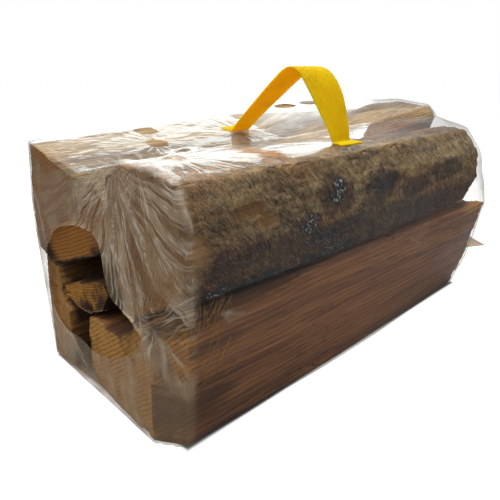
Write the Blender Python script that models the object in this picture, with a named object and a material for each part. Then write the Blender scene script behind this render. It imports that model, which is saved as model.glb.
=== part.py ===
"""Shrink-wrapped firewood bundle: six pieces of split wood, a clear film skin and a webbing handle.

The logs run along X, the near end of the photograph is at -X and its long side at -Y.
Units are metres. Cross-sections are written in millimetres, as Y from the front and Z from the floor.
"""

import math

import bmesh
import bpy
import numpy as np
from mathutils import Matrix

MM = 0.001

# Driving dimensions, in millimetres
LOG_LENGTH = 406.0
BUNDLE_WIDTH = 190.0
FILM_THICKNESS = 0.6
FILM_CLEARANCE = 0.5
WELD_DISTANCE = 0.02
STRAP_WIDTH = 38.0
STRAP_THICKNESS = 1.6
STRAP_GAP = 0.4

# The openings the film leaves at the two ends, as Y from the front and Z from the floor
NEAR_HOLE = [(129, 131), (150, 124), (166, 110), (175, 90), (175, 68), (170, 48), (154, 40),
             (128, 40), (104, 39), (80, 44), (58, 51), (38, 62), (26, 77), (34, 87), (52, 90),
             (66, 95), (73, 107), (78, 123), (90, 132), (109, 134)]
FAR_HOLE = [(104, 136), (134, 128), (155, 108), (160, 84), (148, 60), (118, 45), (84, 46),
            (52, 58), (36, 80), (38, 106), (62, 128)]

# A corner of film left standing out from the far end: its root on the end, and its free tip
EAR_ROOT = [(-4, 43), (0, 64)]
EAR_TIP = (446, -19, 51)

# Where the film's spans meet along X, and the dip between the upper logs
FILM_SPANS = (-20.0, 222.0, 310.0, 440.0)
VALLEY_Y = 128.0
VALLEY_Z = 193.0

# Round vents in the top of the film: X along the log, Y from the front, radius
VENTS = [(92.0, 143.0, 10.0), (104.0, 176.0, 11.0), (290.0, 168.0, 12.0), (324.0, 160.0, 12.0)]

# Each log: stations along its length with matching outlines, how its near and far ends slope in Y
# and Z, the outline edges that are bark, how deep its split faces and its bark are carved, where
# its ridges and lumps start, and its colour.
LOGS = {
    "split_upper_front": {
        "stations": [
            (0.0, [(2, 180), (27, 186), (54, 185), (80, 177), (82, 150), (82, 120), (77, 93),
                   (62, 74), (44, 81), (18, 94), (-3, 104), (-7, 134), (-5, 160)]),
            (200.0, [(3, 180), (24, 183), (48, 182), (70, 178), (74, 160), (76, 136), (74, 110),
                     (60, 90), (40, 93), (18, 96), (-3, 99), (-9, 128), (-7, 158)]),
            (408.0, [(6, 181), (18, 183), (30, 183), (38, 180), (46, 162), (58, 142), (72, 116),
                     (60, 99), (44, 98), (20, 100), (-2, 102), (-15, 130), (-12, 158)]),
        ],
        "end_slopes": ((0.02, -0.02), (0.0, -0.03)),
        "bark_edges": (10, 11, 12),
        "carve": (2.4, 4.2),
        "waves": (0.7, 2.1, 4.4),
        "colour": (0.20, 0.13, 0.07),
    },
    "split_upper_back": {
        "stations": [
            (1.0, [(190, 187), (160, 178), (127, 169), (97, 168), (83, 150), (83, 122),
                   (108, 110), (149, 95), (176, 89.5), (194, 98), (197, 126), (194, 158)]),
            (222.0, [(190, 195), (154, 183), (124, 175), (94, 172), (75, 160), (77, 136),
                     (90, 112), (130, 103), (165, 96), (192, 101), (196, 130), (195, 162)]),
            (310.0, [(189, 205), (156, 202), (106, 199), (67, 189), (60, 176), (67, 148),
                     (86, 120), (124, 109), (160, 101), (190, 105), (195, 135), (194, 170)]),
            (410.0, [(187, 200), (150, 198), (94, 208), (57, 203), (46, 191), (61, 152),
                     (84, 122), (122, 115), (158, 108), (188, 110), (192, 136), (190, 166)]),
        ],
        "end_slopes": ((-0.01, 0.01), (0.09, -0.02)),
        "bark_edges": (6, 7),
        "carve": (2.6, 3.0),
        "waves": (1.9, 0.4, 3.1),
        "colour": (0.47, 0.30, 0.15),
    },
    "slab_middle": {
        "stations": [
            (6.0, [(152, 75), (130, 84), (108, 90), (90, 94), (83, 86), (94, 71), (112, 63.5),
                   (128, 62), (139, 63), (150, 67)]),
            (200.0, [(148, 84), (130, 99), (108, 106), (88, 107), (79, 98), (84, 76), (110, 65),
                     (126, 63), (138, 64), (146, 71)]),
            (396.0, [(146, 84), (126, 108), (104, 115), (88, 116), (77, 108), (82, 80), (108, 66),
                     (124, 65), (135, 66), (143, 72)]),
        ],
        "end_slopes": ((0.02, 0.05), (0.03, 0.0)),
        "bark_edges": (5, 6, 7, 8),
        "carve": (2.0, 2.4),
        "waves": (3.3, 1.2, 0.2),
        "colour": (0.36, 0.19, 0.06),
    },
    "split_lower_back": {
        "stations": [
            (-1.0, [(177, 88.6), (163, 87), (157, 74), (152, 60), (144, 57), (142, 43),
                    (141, 30), (150, 20), (158, 4), (170, 1.5), (184, 1.5), (188, 22),
                    (194, 66), (194, 88)]),
            (200.0, [(178, 94), (160, 92.5), (152, 80), (148, 64), (140, 60), (138, 44),
                     (137, 29), (146, 18), (155, 4), (169, 1.5), (185, 1.5), (190, 22),
                     (194, 66), (192, 97)]),
            (402.0, [(180, 107), (160, 106), (150, 84), (145, 68), (137, 60), (136, 43),
                     (135, 28), (143, 16), (152, 4), (168, 1.5), (185, 1.5), (189, 22),
                     (193, 68), (191, 107)]),
        ],
        "end_slopes": ((0.15, 0.05), (0.02, 0.02)),
        "bark_edges": (10, 11, 12),
        "carve": (2.2, 3.4),
        "waves": (2.7, 3.8, 1.3),
        "colour": (0.44, 0.22, 0.09),
    },
    "split_lower_front": {
        "stations": [
            (-10.0, [(111, 62), (88, 64), (64, 68), (46, 76), (28, 86), (17, 90), (18, 72),
                     (17, 50), (17, 46), (18, 20), (20, 1.5), (40, 1.5), (74, 1.5), (106, 5),
                     (118, 16), (116, 40)]),
            (3.0, [(111, 62), (88, 65), (64, 70), (42, 79.5), (18, 92.5), (-1, 102), (-3, 76),
                   (-4, 50), (-2, 45), (-2, 20), (0, 1.5), (32, 1.5), (74, 1.5), (106, 5),
                   (118, 16), (116, 40)]),
            (200.0, [(107, 63), (84, 73), (62, 88.5), (42, 91.5), (18, 94.5), (-4, 98), (-8, 74),
                     (-9, 42), (-7, 37), (-7, 17), (-5, 1.5), (30, 1.5), (72, 1.5), (104, 5),
                     (116, 16), (113, 40)]),
            (414.0, [(98, 62), (76, 74), (52, 90), (26, 97), (2, 100), (-20, 100), (-16, 76),
                     (-10, 36), (-7, 30), (-3, 14), (1, 1.5), (30, 1.5), (70, 1.5), (100, 5),
                     (112, 16), (109, 40)]),
        ],
        "end_slopes": ((0.1, 0.0), (0.0, -0.17)),
        "bark_edges": (11, 12, 13),
        "carve": (2.4, 1.2),
        "waves": (0.3, 4.6, 2.2),
        "colour": (0.33, 0.16, 0.07),
    },
    "stick_lower_middle": {
        "stations": [
            (28.0, [(136, 56), (119, 57), (118, 38), (120, 16), (120, 4), (134, 2), (150, 3),
                    (145, 16), (138, 30)]),
            (200.0, [(135, 57), (116, 58), (115, 39), (118, 16), (118, 4), (132, 2), (148, 3),
                     (142, 16), (135, 30)]),
            (390.0, [(133, 57), (113, 59), (112, 40), (114, 16), (114, 4), (130, 2), (145, 3),
                     (139, 16), (132, 30)]),
        ],
        "end_slopes": ((0.04, 0.02), (0.03, -0.02)),
        "bark_edges": (),
        "carve": (1.6, 1.0),
        "waves": (4.1, 2.9, 0.9),
        "colour": (0.17, 0.06, 0.03),
    },
}
LOG_ALONG = 16

# The strap's middle line across the bundle: Y from the front, height above its feet, and how far
# its two edges are twisted apart in Y
STRAP_X = 195.0
STRAP_ARCH = [(22, 1.2, 0), (24, 7, 0), (30, 20, 2), (35, 31, 4), (41, 42, 4), (48, 52, 4),
              (55, 59, 2), (64, 62, 0), (72, 59, 0), (81, 52, 0), (93, 43, 0), (104, 34, 0),
              (124, 18, 0), (140, 4, 0), (143, 1.4, 0)]
STRAP_PINCH = 5.0
STRAP_TAB = 11.0
STRAP_TAB_FLARE = 6.0
STRAP_POINTS = 30

WOOD_ROUGHNESS = 0.8
FILM = {"colour": (0.9, 0.92, 0.92, 0.25), "roughness": 0.08}
STRAP = {"colour": (0.83, 0.58, 0.01, 1.0), "roughness": 0.6}


def clear_scene():
    for found in list(bpy.data.objects):
        bpy.data.objects.remove(found)


def make_material(name, values):
    material = bpy.data.materials.new(name)
    material.use_nodes = True
    shader = material.node_tree.nodes["Principled BSDF"]
    shader.inputs["Base Color"].default_value = values["colour"]
    shader.inputs["Alpha"].default_value = values["colour"][3]
    shader.inputs["Roughness"].default_value = values["roughness"]
    shader.inputs["Metallic"].default_value = 0.0
    return material


def to_metres(points):
    """Bundle millimetres to metres, with the middle of the length and width at the origin."""
    middle = np.array([LOG_LENGTH / 2, BUNDLE_WIDTH / 2, 0.0])
    return (np.asarray(points, float) - middle) * MM


def make_object(name, points, faces, material, smooth_angle=None):
    mesh = bpy.data.meshes.new(name)
    mesh.from_pydata([tuple(p) for p in to_metres(points)], [], faces)
    edit = bmesh.new()
    edit.from_mesh(mesh)
    bmesh.ops.recalc_face_normals(edit, faces=edit.faces)
    edit.to_mesh(mesh)
    edit.free()
    mesh.materials.append(material)
    if smooth_angle is not None:
        mesh.shade_smooth()
        mesh.set_sharp_from_angle(angle=math.radians(smooth_angle))
    made = bpy.data.objects.new(name, mesh)
    bpy.context.scene.collection.objects.link(made)
    return made


def ring_faces(rows, columns, flip=False):
    """Quads of a grid that closes on itself across its columns."""
    faces = []
    for row in range(rows - 1):
        for column in range(columns):
            beside = (column + 1) % columns
            quad = [row * columns + column, row * columns + beside,
                    (row + 1) * columns + beside, (row + 1) * columns + column]
            faces.append(quad[::-1] if flip else quad)
    return faces


def outline_at(log, x):
    """The log's outline where it crosses x, blended between its two nearest stations."""
    places = np.array([place for place, _ in log["stations"]])
    outlines = np.array([outline for _, outline in log["stations"]], float)
    x = np.clip(x, places[0], places[-1])
    after = int(np.clip(np.searchsorted(places, x), 1, len(places) - 1))
    share = (x - places[after - 1]) / (places[after] - places[after - 1])
    return outlines[after - 1] * (1 - share) + outlines[after] * share


def sloped(log, x, outline, section):
    """The points of a section at x, with X moved by the slope of the nearer end."""
    first, last = log["stations"][0][0], log["stations"][-1][0]
    t = (x - first) / (last - first)
    near, far = (np.array(slope) for slope in log["end_slopes"])
    off_centre = section - outline.mean(0)
    lean = off_centre @ near * max(1 - 2 * t, 0) - off_centre @ far * max(2 * t - 1, 0)
    return np.column_stack([x + lean, section])


def carve_depth(log, x, edge, along_edge):
    """How deep the surface is carved: long fibre ledges on split faces, short lumps on bark."""
    split_depth, bark_depth = log["carve"]
    a, b, c = log["waves"]
    angle = edge * 1.7 + along_edge * 2.4
    ledge = 0.5 + 0.5 * np.sin(2.9 * angle + 0.011 * x + a)
    drift = 0.5 + 0.5 * np.sin(0.023 * x + 1.3 * angle + b)
    lump = 0.5 + 0.5 * np.sin(0.061 * x + 2.1 * angle + c) * np.sin(0.027 * x - 1.6 * angle + a)
    is_bark = np.isin(edge, log["bark_edges"])
    depth = np.where(is_bark, bark_depth * lump, split_depth * ledge * drift)
    return depth * (0.55 + 0.45 * np.sin(math.pi * along_edge))


def log_grid(log, along, per_edge):
    """Rows of points round the log, one row for each place along it: (along, around, 3)."""
    places = [place for place, _ in log["stations"]]
    corners = len(log["stations"][0][1])
    edge = np.repeat(np.arange(corners), per_edge)
    share = np.tile(np.arange(per_edge) / per_edge, corners)
    even = np.linspace(places[0], places[-1], along)
    apart = np.abs(even[:, None] - np.array(places)[None]).min(1) > 10.0
    rows = []
    for x in sorted(set(even[apart]) | set(places)):
        outline = outline_at(log, x)
        after = np.roll(outline, -1, axis=0)
        flat = outline[edge] * (1 - share[:, None]) + after[edge] * share[:, None]
        inward = outline.mean(0) - flat
        inward /= np.linalg.norm(inward, axis=1)[:, None]
        flat = flat + inward * carve_depth(log, x, edge, share)[:, None]
        rows.append(sloped(log, x, outline, flat))
    return np.array(rows)


def make_log(name, log, material):
    grid = log_grid(log, LOG_ALONG, 2)
    rows, around, _ = grid.shape
    faces = ring_faces(rows, around)
    faces.append(list(range(around))[::-1])
    faces.append([(rows - 1) * around + i for i in range(around)])
    return make_object(name, grid.reshape(-1, 3), faces, material, smooth_angle=32)


def log_corners(log, first, last):
    """Corners of the log's outline, before anything is carved away, at each station of a span."""
    places = [place for place, _ in log["stations"]]
    within = {min(max(x, places[0]), places[-1]) for x in (first, last)}
    within |= {place for place in places if first <= place <= last}
    outlines = [(x, outline_at(log, x)) for x in sorted(within)]
    return np.concatenate([sloped(log, x, outline, outline) for x, outline in outlines])


def tight_skin(points, offset):
    """The tightest convex skin that clears the points by offset: its points and faces."""
    cube = np.array([(x, y, z) for x in (-1, 1) for y in (-1, 1) for z in (-1, 1)]) * offset
    edit = bmesh.new()
    for point in (points[:, None] + cube[None]).reshape(-1, 3):
        edit.verts.new(point)
    hull = bmesh.ops.convex_hull(edit, input=edit.verts)
    unused = {item for item in hull["geom_interior"] + hull["geom_unused"]
              if isinstance(item, bmesh.types.BMVert)}
    bmesh.ops.delete(edit, geom=list(unused), context="VERTS")
    bmesh.ops.recalc_face_normals(edit, faces=edit.faces)
    edit.verts.index_update()
    found = np.array([vert.co[:] for vert in edit.verts])
    faces = [[vert.index for vert in face.verts] for face in edit.faces]
    edit.free()
    return found, faces


def film_groups(first, last):
    """Two sets of corners for one span: the back column of logs, and everything below the slope
    of the upper back log. The film dips between the two sets, along the foot of that slope."""
    back, low = [], []
    for name, log in LOGS.items():
        corners = log_corners(log, first, last)
        if name in ("split_upper_back", "split_lower_back", "slab_middle"):
            back.append(corners)
        if name == "split_upper_back":
            corners = corners[(corners[:, 1] < VALLEY_Y) & (corners[:, 2] < VALLEY_Z)]
        low.append(corners)
    return np.concatenate(back), np.concatenate(low)


def film_skins(offset):
    """Convex skins, two for each span along the bundle, that together hold every log."""
    return [tight_skin(corners, offset) for first, last in zip(FILM_SPANS, FILM_SPANS[1:])
            for corners in film_groups(first, last)]


def skin_reach(skin, start, direction):
    """How far a ray from inside the skin goes before it leaves it."""
    points, faces = skin
    a, b, c = (points[[face[i] for face in faces]] for i in range(3))
    normal = np.cross(b - a, c - a)
    speed = normal @ np.asarray(direction, float)
    gap = ((a - np.asarray(start, float)) * normal).sum(1)
    ahead = speed > 1e-9
    return (gap[ahead] / speed[ahead]).min()


def film_top(skins, x, y):
    """The height of the film's outer surface above x, y."""
    heights = []
    for points, faces in skins:
        inside = (points[:, 0].min() < x < points[:, 0].max()
                  and points[:, 1].min() < y < points[:, 1].max())
        if inside:
            heights.append(skin_reach((points, faces), (x, y, 60.0), (0, 0, 1)) + 60.0)
    return max(heights)


def film_end(skins, y, z):
    """The X of the far end's outer surface, level with y, z."""
    return max(skin_reach(skin, (400.0, y, z), (1, 0, 0)) for skin in skins[-2:]) + 400.0


def prism(outline, first, last):
    """A bar along X with the given outline in Y and Z: its points and faces."""
    count = len(outline)
    points = [(x, y, z) for x in (first, last) for y, z in outline]
    faces = [list(range(count))[::-1], list(range(count, 2 * count))]
    return points, faces + ring_faces(2, count)


def combine(target, tool, operation):
    """Joins or cuts target with tool as an exact Boolean that stays live."""
    tool.hide_render = True
    tool.display_type = "WIRE"
    boolean = target.modifiers.new(tool.name, "BOOLEAN")
    boolean.operation = operation
    boolean.solver = "EXACT"
    boolean.object = tool


def rounded(outline, per_side=3):
    """A smooth closed curve through the outline's points."""
    points = np.array(outline, float)
    before, after = np.roll(points, 1, axis=0), np.roll(points, -1, axis=0)
    beyond = np.roll(points, -2, axis=0)
    curve = []
    for t in np.arange(per_side) / per_side:
        curve.append(0.5 * (2 * points + (after - before) * t
                            + (2 * before - 5 * points + 4 * after - beyond) * t**2
                            + (3 * points - before - 3 * after + beyond) * t**3))
    return np.stack(curve, axis=1).reshape(-1, 2)


def make_film(inner, outer, material):
    """The film is the outer skins joined, less the inner skins, the openings and the vents."""
    first, *others = [make_object(f"film_skin_{i}", *skin, material)
                      for i, skin in enumerate(outer)]
    first.name = first.data.name = "film_wrap"
    for skin in others:
        combine(first, skin, "UNION")
    for i, skin in enumerate(inner):
        combine(first, make_object(f"film_inside_{i}", *skin, material), "DIFFERENCE")
    for name, outline, start, end in (("near_hole_cutter", NEAR_HOLE, -60, 60),
                                      ("far_hole_cutter", FAR_HOLE, 360, 480)):
        bar = prism(rounded(outline, 2), start, end)
        combine(first, make_object(name, *bar, material), "DIFFERENCE")
    for number, (x, y, radius) in enumerate(VENTS):
        combine(first, make_vent_cutter(number, x, y, radius, material), "DIFFERENCE")
    combine(first, make_ear(outer, material), "UNION")
    weld = first.modifiers.new("weld", "WELD")
    weld.merge_threshold = WELD_DISTANCE * MM
    return first


def make_vent_cutter(number, x, y, radius, material):
    angles = np.arange(14) * 2 * math.pi / 14
    ring = np.column_stack([x + radius * np.cos(angles), y + radius * 0.92 * np.sin(angles)])
    points = [(px, py, z) for z in (150.0, 240.0) for px, py in ring]
    faces = [list(range(14)), list(range(14, 28))] + ring_faces(2, 14)
    return make_object(f"vent_cutter_{number}", points, faces, material)


def make_ear(outer, material):
    """A flat three-cornered flap whose root is sunk half way into the film."""
    half = FILM_THICKNESS / 2
    roots = [(film_end(outer, y, z) - half, y, z) for y, z in EAR_ROOT]
    corners = np.array([roots[0], EAR_TIP, roots[1]], float)
    normal = np.cross(corners[1] - corners[0], corners[2] - corners[0])
    normal /= np.linalg.norm(normal)
    points = np.concatenate([corners - normal * half, corners + normal * half])
    faces = [[0, 1, 2], [3, 4, 5]] + ring_faces(2, 3)
    return make_object("film_ear", points, faces, material)


def strap_line():
    """The strap's middle line as Y, height and twist, evenly spaced, with a tab at each foot."""
    arch = np.array(STRAP_ARCH, float)
    steps = np.linalg.norm(np.diff(arch[:, :2], axis=0), axis=1)
    walked = np.concatenate([[0], np.cumsum(steps)])
    at = np.linspace(0, walked[-1], STRAP_POINTS)
    line = np.column_stack([np.interp(at, walked, column) for column in arch.T])
    for _ in range(2):
        line[1:-1] = (line[:-2] + 2 * line[1:-1] + line[2:]) / 4
    front_tab = [line[0] - (STRAP_TAB, 0, 0), line[0] - (STRAP_TAB / 2, 0, 0)]
    back_tab = [line[-1] + (STRAP_TAB / 2, 0, 0), line[-1] + (STRAP_TAB, 0, 0)]
    return np.concatenate([front_tab, line, back_tab])


def make_strap(outer, material):
    """One flat strap: a tab on the film at each foot, flared where it is bonded, and the arch."""
    line = strap_line()
    tangent = np.gradient(line[:, :2], axis=0)
    tangent /= np.linalg.norm(tangent, axis=1)[:, None]
    normal = np.column_stack([-tangent[:, 1], tangent[:, 0]])
    rise = np.clip(line[:, 1] / line[:, 1].max(), 0, 1)
    width = STRAP_WIDTH / 2 - STRAP_PINCH * (1 - rise)
    width[[0, -1]] += STRAP_TAB_FLARE
    width[[1, -2]] += STRAP_TAB_FLARE * 0.6
    foot_y = [line[2, 0], line[-3, 0]]
    half = STRAP_THICKNESS / 2
    corners = []
    for side, face in ((-1, 1), (1, 1), (1, -1), (-1, -1)):
        x = STRAP_X + side * width
        foot = [film_top(outer, STRAP_X + side * width[i], y) for i, y in zip((2, -3), foot_y)]
        base = np.interp(line[:, 0], foot_y, foot)
        for i in (0, 1, -2, -1):
            base[i] = film_top(outer, x[i], line[i, 0])
        height = base + STRAP_GAP + half + line[:, 1] - STRAP_ARCH[0][1]
        twisted = line[:, 0] - side * line[:, 2]
        place = np.column_stack([twisted, height]) + normal * half * face
        corners.append(np.column_stack([x, place]))
    points = np.stack(corners, axis=1)
    faces = ring_faces(len(line), 4)
    last = (len(line) - 1) * 4
    faces += [[3, 2, 1, 0], [last, last + 1, last + 2, last + 3]]
    return make_object("carry_strap", points.reshape(-1, 3), faces, material, smooth_angle=30)


def recentre():
    """Moves every mesh so that the finished bundle's bounding box stands centred on the origin."""
    graph = bpy.context.evaluated_depsgraph_get()
    graph.update()
    places = []
    for made in bpy.data.objects:
        if not made.hide_render:
            mesh = made.evaluated_get(graph).data
            flat = np.empty(len(mesh.vertices) * 3)
            mesh.vertices.foreach_get("co", flat)
            places.append(flat.reshape(-1, 3))
    places = np.concatenate(places)
    low, high = places.min(0), places.max(0)
    move = (-(low[0] + high[0]) / 2, -(low[1] + high[1]) / 2, -low[2])
    for made in bpy.data.objects:
        made.data.transform(Matrix.Translation(move))
    print("moved by", [round(value * 1000, 2) for value in move], "mm")


def main():
    clear_scene()
    for name, log in LOGS.items():
        wood = {"colour": (*log["colour"], 1.0), "roughness": WOOD_ROUGHNESS}
        make_log(name, log, make_material(name, wood))
    inner = film_skins(FILM_CLEARANCE)
    outer = film_skins(FILM_CLEARANCE + FILM_THICKNESS)
    make_film(inner, outer, make_material("film_wrap", FILM))
    make_strap(outer, make_material("carry_strap", STRAP))
    recentre()


main()
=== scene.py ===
# Firewood bundle: six pieces of split wood under clear shrink film, with a webbing strap.
# The tables are in millimetres along the bundle (X), from its front (Y) and from the floor (Z).

import itertools
import math

import bmesh
import bpy
import numpy as np
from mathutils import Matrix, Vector


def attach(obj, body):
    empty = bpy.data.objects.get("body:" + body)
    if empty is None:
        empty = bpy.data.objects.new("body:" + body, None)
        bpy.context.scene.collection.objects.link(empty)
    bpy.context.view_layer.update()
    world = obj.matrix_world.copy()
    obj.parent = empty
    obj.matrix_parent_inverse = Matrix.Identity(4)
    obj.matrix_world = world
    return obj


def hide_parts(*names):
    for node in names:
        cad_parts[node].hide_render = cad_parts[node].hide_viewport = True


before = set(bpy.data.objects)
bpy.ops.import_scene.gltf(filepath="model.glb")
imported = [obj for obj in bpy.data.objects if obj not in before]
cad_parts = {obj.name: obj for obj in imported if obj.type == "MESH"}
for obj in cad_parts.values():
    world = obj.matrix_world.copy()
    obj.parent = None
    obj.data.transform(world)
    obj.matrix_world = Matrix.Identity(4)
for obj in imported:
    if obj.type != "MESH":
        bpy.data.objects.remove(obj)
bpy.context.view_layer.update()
print("frame loaded,", len(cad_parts), "nodes")

mm = 0.001
tableZero = np.array([-215.56, -88.5, -0.4])  # where the tables' zero lies in the frame
bundleBody = "root"


# Numbers to surfaces.
def toFrame(points):
    # Table millimetres to frame metres.
    return (np.asarray(points, float) + tableZero) * mm


def smoothStep(low, high, value):
    # 0 below low and 1 above high, with an S curve between; low may be the larger.
    t = np.clip((value - low) / (high - low), 0.0, 1.0)
    return t * t * (3 - 2 * t)


def hashed(cells, seed):
    # A repeatable value from 0 to 1 for each whole-number cell, by multiplying and mixing its bits.
    factors = np.array([73856093, 19349663, 83492791], np.int64)[: cells.shape[-1]]
    mixed = (cells * factors).sum(-1) + seed * 1013904223
    mixed = (mixed ^ (mixed >> 15)) * 668265263 & 0x7FFFFFFF
    mixed = (mixed ^ (mixed >> 13)) * 374761393 & 0x7FFFFFFF
    return ((mixed ^ (mixed >> 16)) & 0xFFFFF) / 0xFFFFF


def noise(places, seed):
    # Smooth noise from -1 to 1: the hashed corners of each place's cell, blended by S curves.
    cell = np.floor(places).astype(np.int64)
    part = places - cell
    part = part * part * (3 - 2 * part)
    total = np.zeros(places.shape[:-1])
    for corner in itertools.product((0, 1), repeat=places.shape[-1]):
        step = np.array(corner)
        weight = np.where(step, part, 1 - part).prod(-1)
        total += weight * hashed(cell + step, seed)
    return total * 2 - 1


def layered(places, seed, layers=3, gain=0.5):
    # Noise summed at doubling scales, each layer weaker than the last by the gain.
    total = sum(noise(places * 2**layer, seed + layer) * gain**layer for layer in range(layers))
    return total / sum(gain**layer for layer in range(layers))


def crackDistance(places, seed):
    # How far a place is from the border between its two nearest cells, each with a hashed centre.
    cell = np.floor(places).astype(np.int64)
    nearest = np.full(places.shape[:-1], 9.0)
    second = nearest.copy()
    for step in itertools.product((-1, 0, 1), repeat=2):
        near = cell + np.array(step)
        shift = np.stack([hashed(near, seed), hashed(near, seed + 7)], -1)
        away = np.linalg.norm(places - near - 0.1 - 0.8 * shift, axis=-1)
        second = np.minimum(second, np.maximum(nearest, away))
        nearest = np.minimum(nearest, away)
    return second - nearest


def across(*values):
    return np.stack(np.broadcast_arrays(*values), -1)


def ringFaces(rows, columns, first=0):
    # Quads of a grid that closes on itself across its columns.
    corner = first + np.arange((rows - 1) * columns).reshape(rows - 1, columns)
    beside = np.roll(corner, -1, axis=1)
    return np.stack([corner, beside, beside + columns, corner + columns], -1).reshape(-1, 4)


def poleFaces(rows, columns):
    # Triangles that close a ring grid's two ends, from the two points that follow the grid's own.
    pole = rows * columns
    ring = np.arange(columns)
    fans = []
    for centre, start in ((pole, 0), (pole + 1, pole - columns)):
        fans.append(np.stack([np.full(columns, centre), start + ring, start + np.roll(ring, -1)], -1))
    return fans[0][:, ::-1], fans[1]


def openFaces(rows, columns, first=0):
    # Quads of a grid with four free edges.
    corner = first + np.arange(rows * columns).reshape(rows, columns)[:-1, :-1]
    return np.stack([corner, corner + 1, corner + columns + 1, corner + columns], -1).reshape(-1, 4)


def makePiece(name, points, faceGroups, masks, material, node, sharpAngle=None):
    # Arrays of points and faces become one mesh piece that stands for a CAD node.
    mesh = bpy.data.meshes.new(name)
    mesh.vertices.add(len(points))
    mesh.vertices.foreach_set("co", np.asarray(points, np.float32).ravel())
    corners = np.concatenate([faces.ravel() for faces in faceGroups])
    sizes = np.concatenate([np.full(len(faces), faces.shape[1]) for faces in faceGroups])
    mesh.loops.add(len(corners))
    mesh.loops.foreach_set("vertex_index", corners.astype(np.int32))
    mesh.polygons.add(len(sizes))
    mesh.polygons.foreach_set("loop_start", (np.cumsum(sizes) - sizes).astype(np.int32))
    mesh.polygons.foreach_set("use_smooth", np.ones(len(sizes), bool))
    mesh.update(calc_edges=True)
    for label, values in masks.items():
        kept = mesh.attributes.new(label, "FLOAT", "POINT")
        kept.data.foreach_set("value", np.asarray(values, np.float32).ravel())
    mesh.materials.append(material)
    if sharpAngle is not None:
        mesh.set_sharp_from_angle(angle=math.radians(sharpAngle))
    piece = bpy.data.objects.new(name, mesh)
    bpy.context.scene.collection.objects.link(piece)
    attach(piece, bundleBody)
    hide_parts(node)
    print(name, "made,", sum(len(faces) * (faces.shape[1] - 2) for faces in faceGroups), "triangles")
    return piece


# Shader helpers.
def fill(node, links):
    # Each named or numbered input of a node gets a value, or another node's output.
    for label, value in links.items():
        socket = node.inputs[label]
        if isinstance(value, bpy.types.NodeSocket):
            node.id_data.links.new(value, socket)
        elif socket.type == "RGBA" and len(value) == 3:
            socket.default_value = (*value, 1.0)
        else:
            socket.default_value = value
    return node


def put(tree, kind, links=None, **settings):
    # Adds a shader node with its settings and inputs.
    made = tree.nodes.new("ShaderNode" + kind)
    for label, value in settings.items():
        setattr(made, label, value)
    return fill(made, links or {})


def treeOf(*values):
    # The tree of the first node output among the values.
    return next(value for value in values if isinstance(value, bpy.types.NodeSocket)).id_data


def sums(operation, *values):
    return put(treeOf(*values), "Math", dict(enumerate(values)), operation=operation).outputs[0]


def plus(*values):
    return sums("ADD", *values)


def minus(*values):
    return sums("SUBTRACT", *values)


def times(*values):
    return sums("MULTIPLY", *values)


def moved(operation, first, second):
    # The same sum for each part of two vectors.
    return put(treeOf(first, second), "VectorMath", {0: first, 1: second}, operation=operation).outputs[0]


def joined(tree, *parts):
    return put(tree, "CombineXYZ", dict(enumerate(parts))).outputs[0]


def lengthOf(vector):
    return put(vector.id_data, "VectorMath", {0: vector}, operation="LENGTH").outputs["Value"]


def fade(value, low, high, start=0.0, end=1.0):
    # A smooth change from start to end while the value goes from low to high.
    links = {"Value": value, "From Min": low, "From Max": high, "To Min": start, "To Max": end}
    return put(value.id_data, "MapRange", links, interpolation_type="SMOOTHSTEP").outputs[0]


def blend(share, first, second):
    # A number between the first and the second.
    return put(treeOf(share, first, second), "Mix", {0: share, 2: first, 3: second}).outputs[0]


def blendColour(share, first, second, how="MIX"):
    tree, links = treeOf(share, first, second), {0: share, 6: first, 7: second}
    return put(tree, "Mix", links, data_type="RGBA", blend_type=how).outputs[2]


def toned(colour, tone):
    # The colour made lighter or darker by a tone.
    return blendColour(1.0, colour, joined(tone.id_data, tone, tone, tone), "MULTIPLY")


def stretchedNoise(place, scale, detail=2.0, rough=0.55):
    # Noise on a place multiplied by one number for each axis: the larger, the finer.
    links = {"Vector": moved("MULTIPLY", place, scale), "Scale": 1.0, "Detail": detail, "Roughness": rough}
    return put(place.id_data, "TexNoise", links).outputs["Fac"]


def objectPlace(tree):
    return put(tree, "TexCoord").outputs["Object"]


def partsOf(vector):
    return put(vector.id_data, "SeparateXYZ", {0: vector}).outputs


def attribute(tree, name):
    return put(tree, "Attribute", attribute_name=name).outputs["Fac"]


def newGroup(name, inputs, outputs):
    # A node group with its inputs' first values, and its outputs' names.
    group = bpy.data.node_groups.new(name, "ShaderNodeTree")
    for label, value in inputs.items():
        isColour = isinstance(value, tuple)
        kind = "NodeSocketColor" if isColour else "NodeSocketFloat"
        kept = group.interface.new_socket(label, in_out="INPUT", socket_type=kind)
        kept.default_value = (*value, 1.0) if isColour else value
    for label in outputs:
        kind = "NodeSocketColor" if label == "Colour" else "NodeSocketFloat"
        group.interface.new_socket(label, in_out="OUTPUT", socket_type=kind)
    return group, group.nodes.new("NodeGroupInput").outputs, group.nodes.new("NodeGroupOutput")


def useGroup(tree, group, links):
    made = tree.nodes.new("ShaderNodeGroup")
    made.node_tree = group
    return fill(made, links).outputs


def newMaterial(name):
    material = bpy.data.materials.new(name)
    material.use_nodes = True
    tree = material.node_tree
    return material, tree, tree.nodes["Principled BSDF"], tree.nodes["Material Output"]


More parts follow.
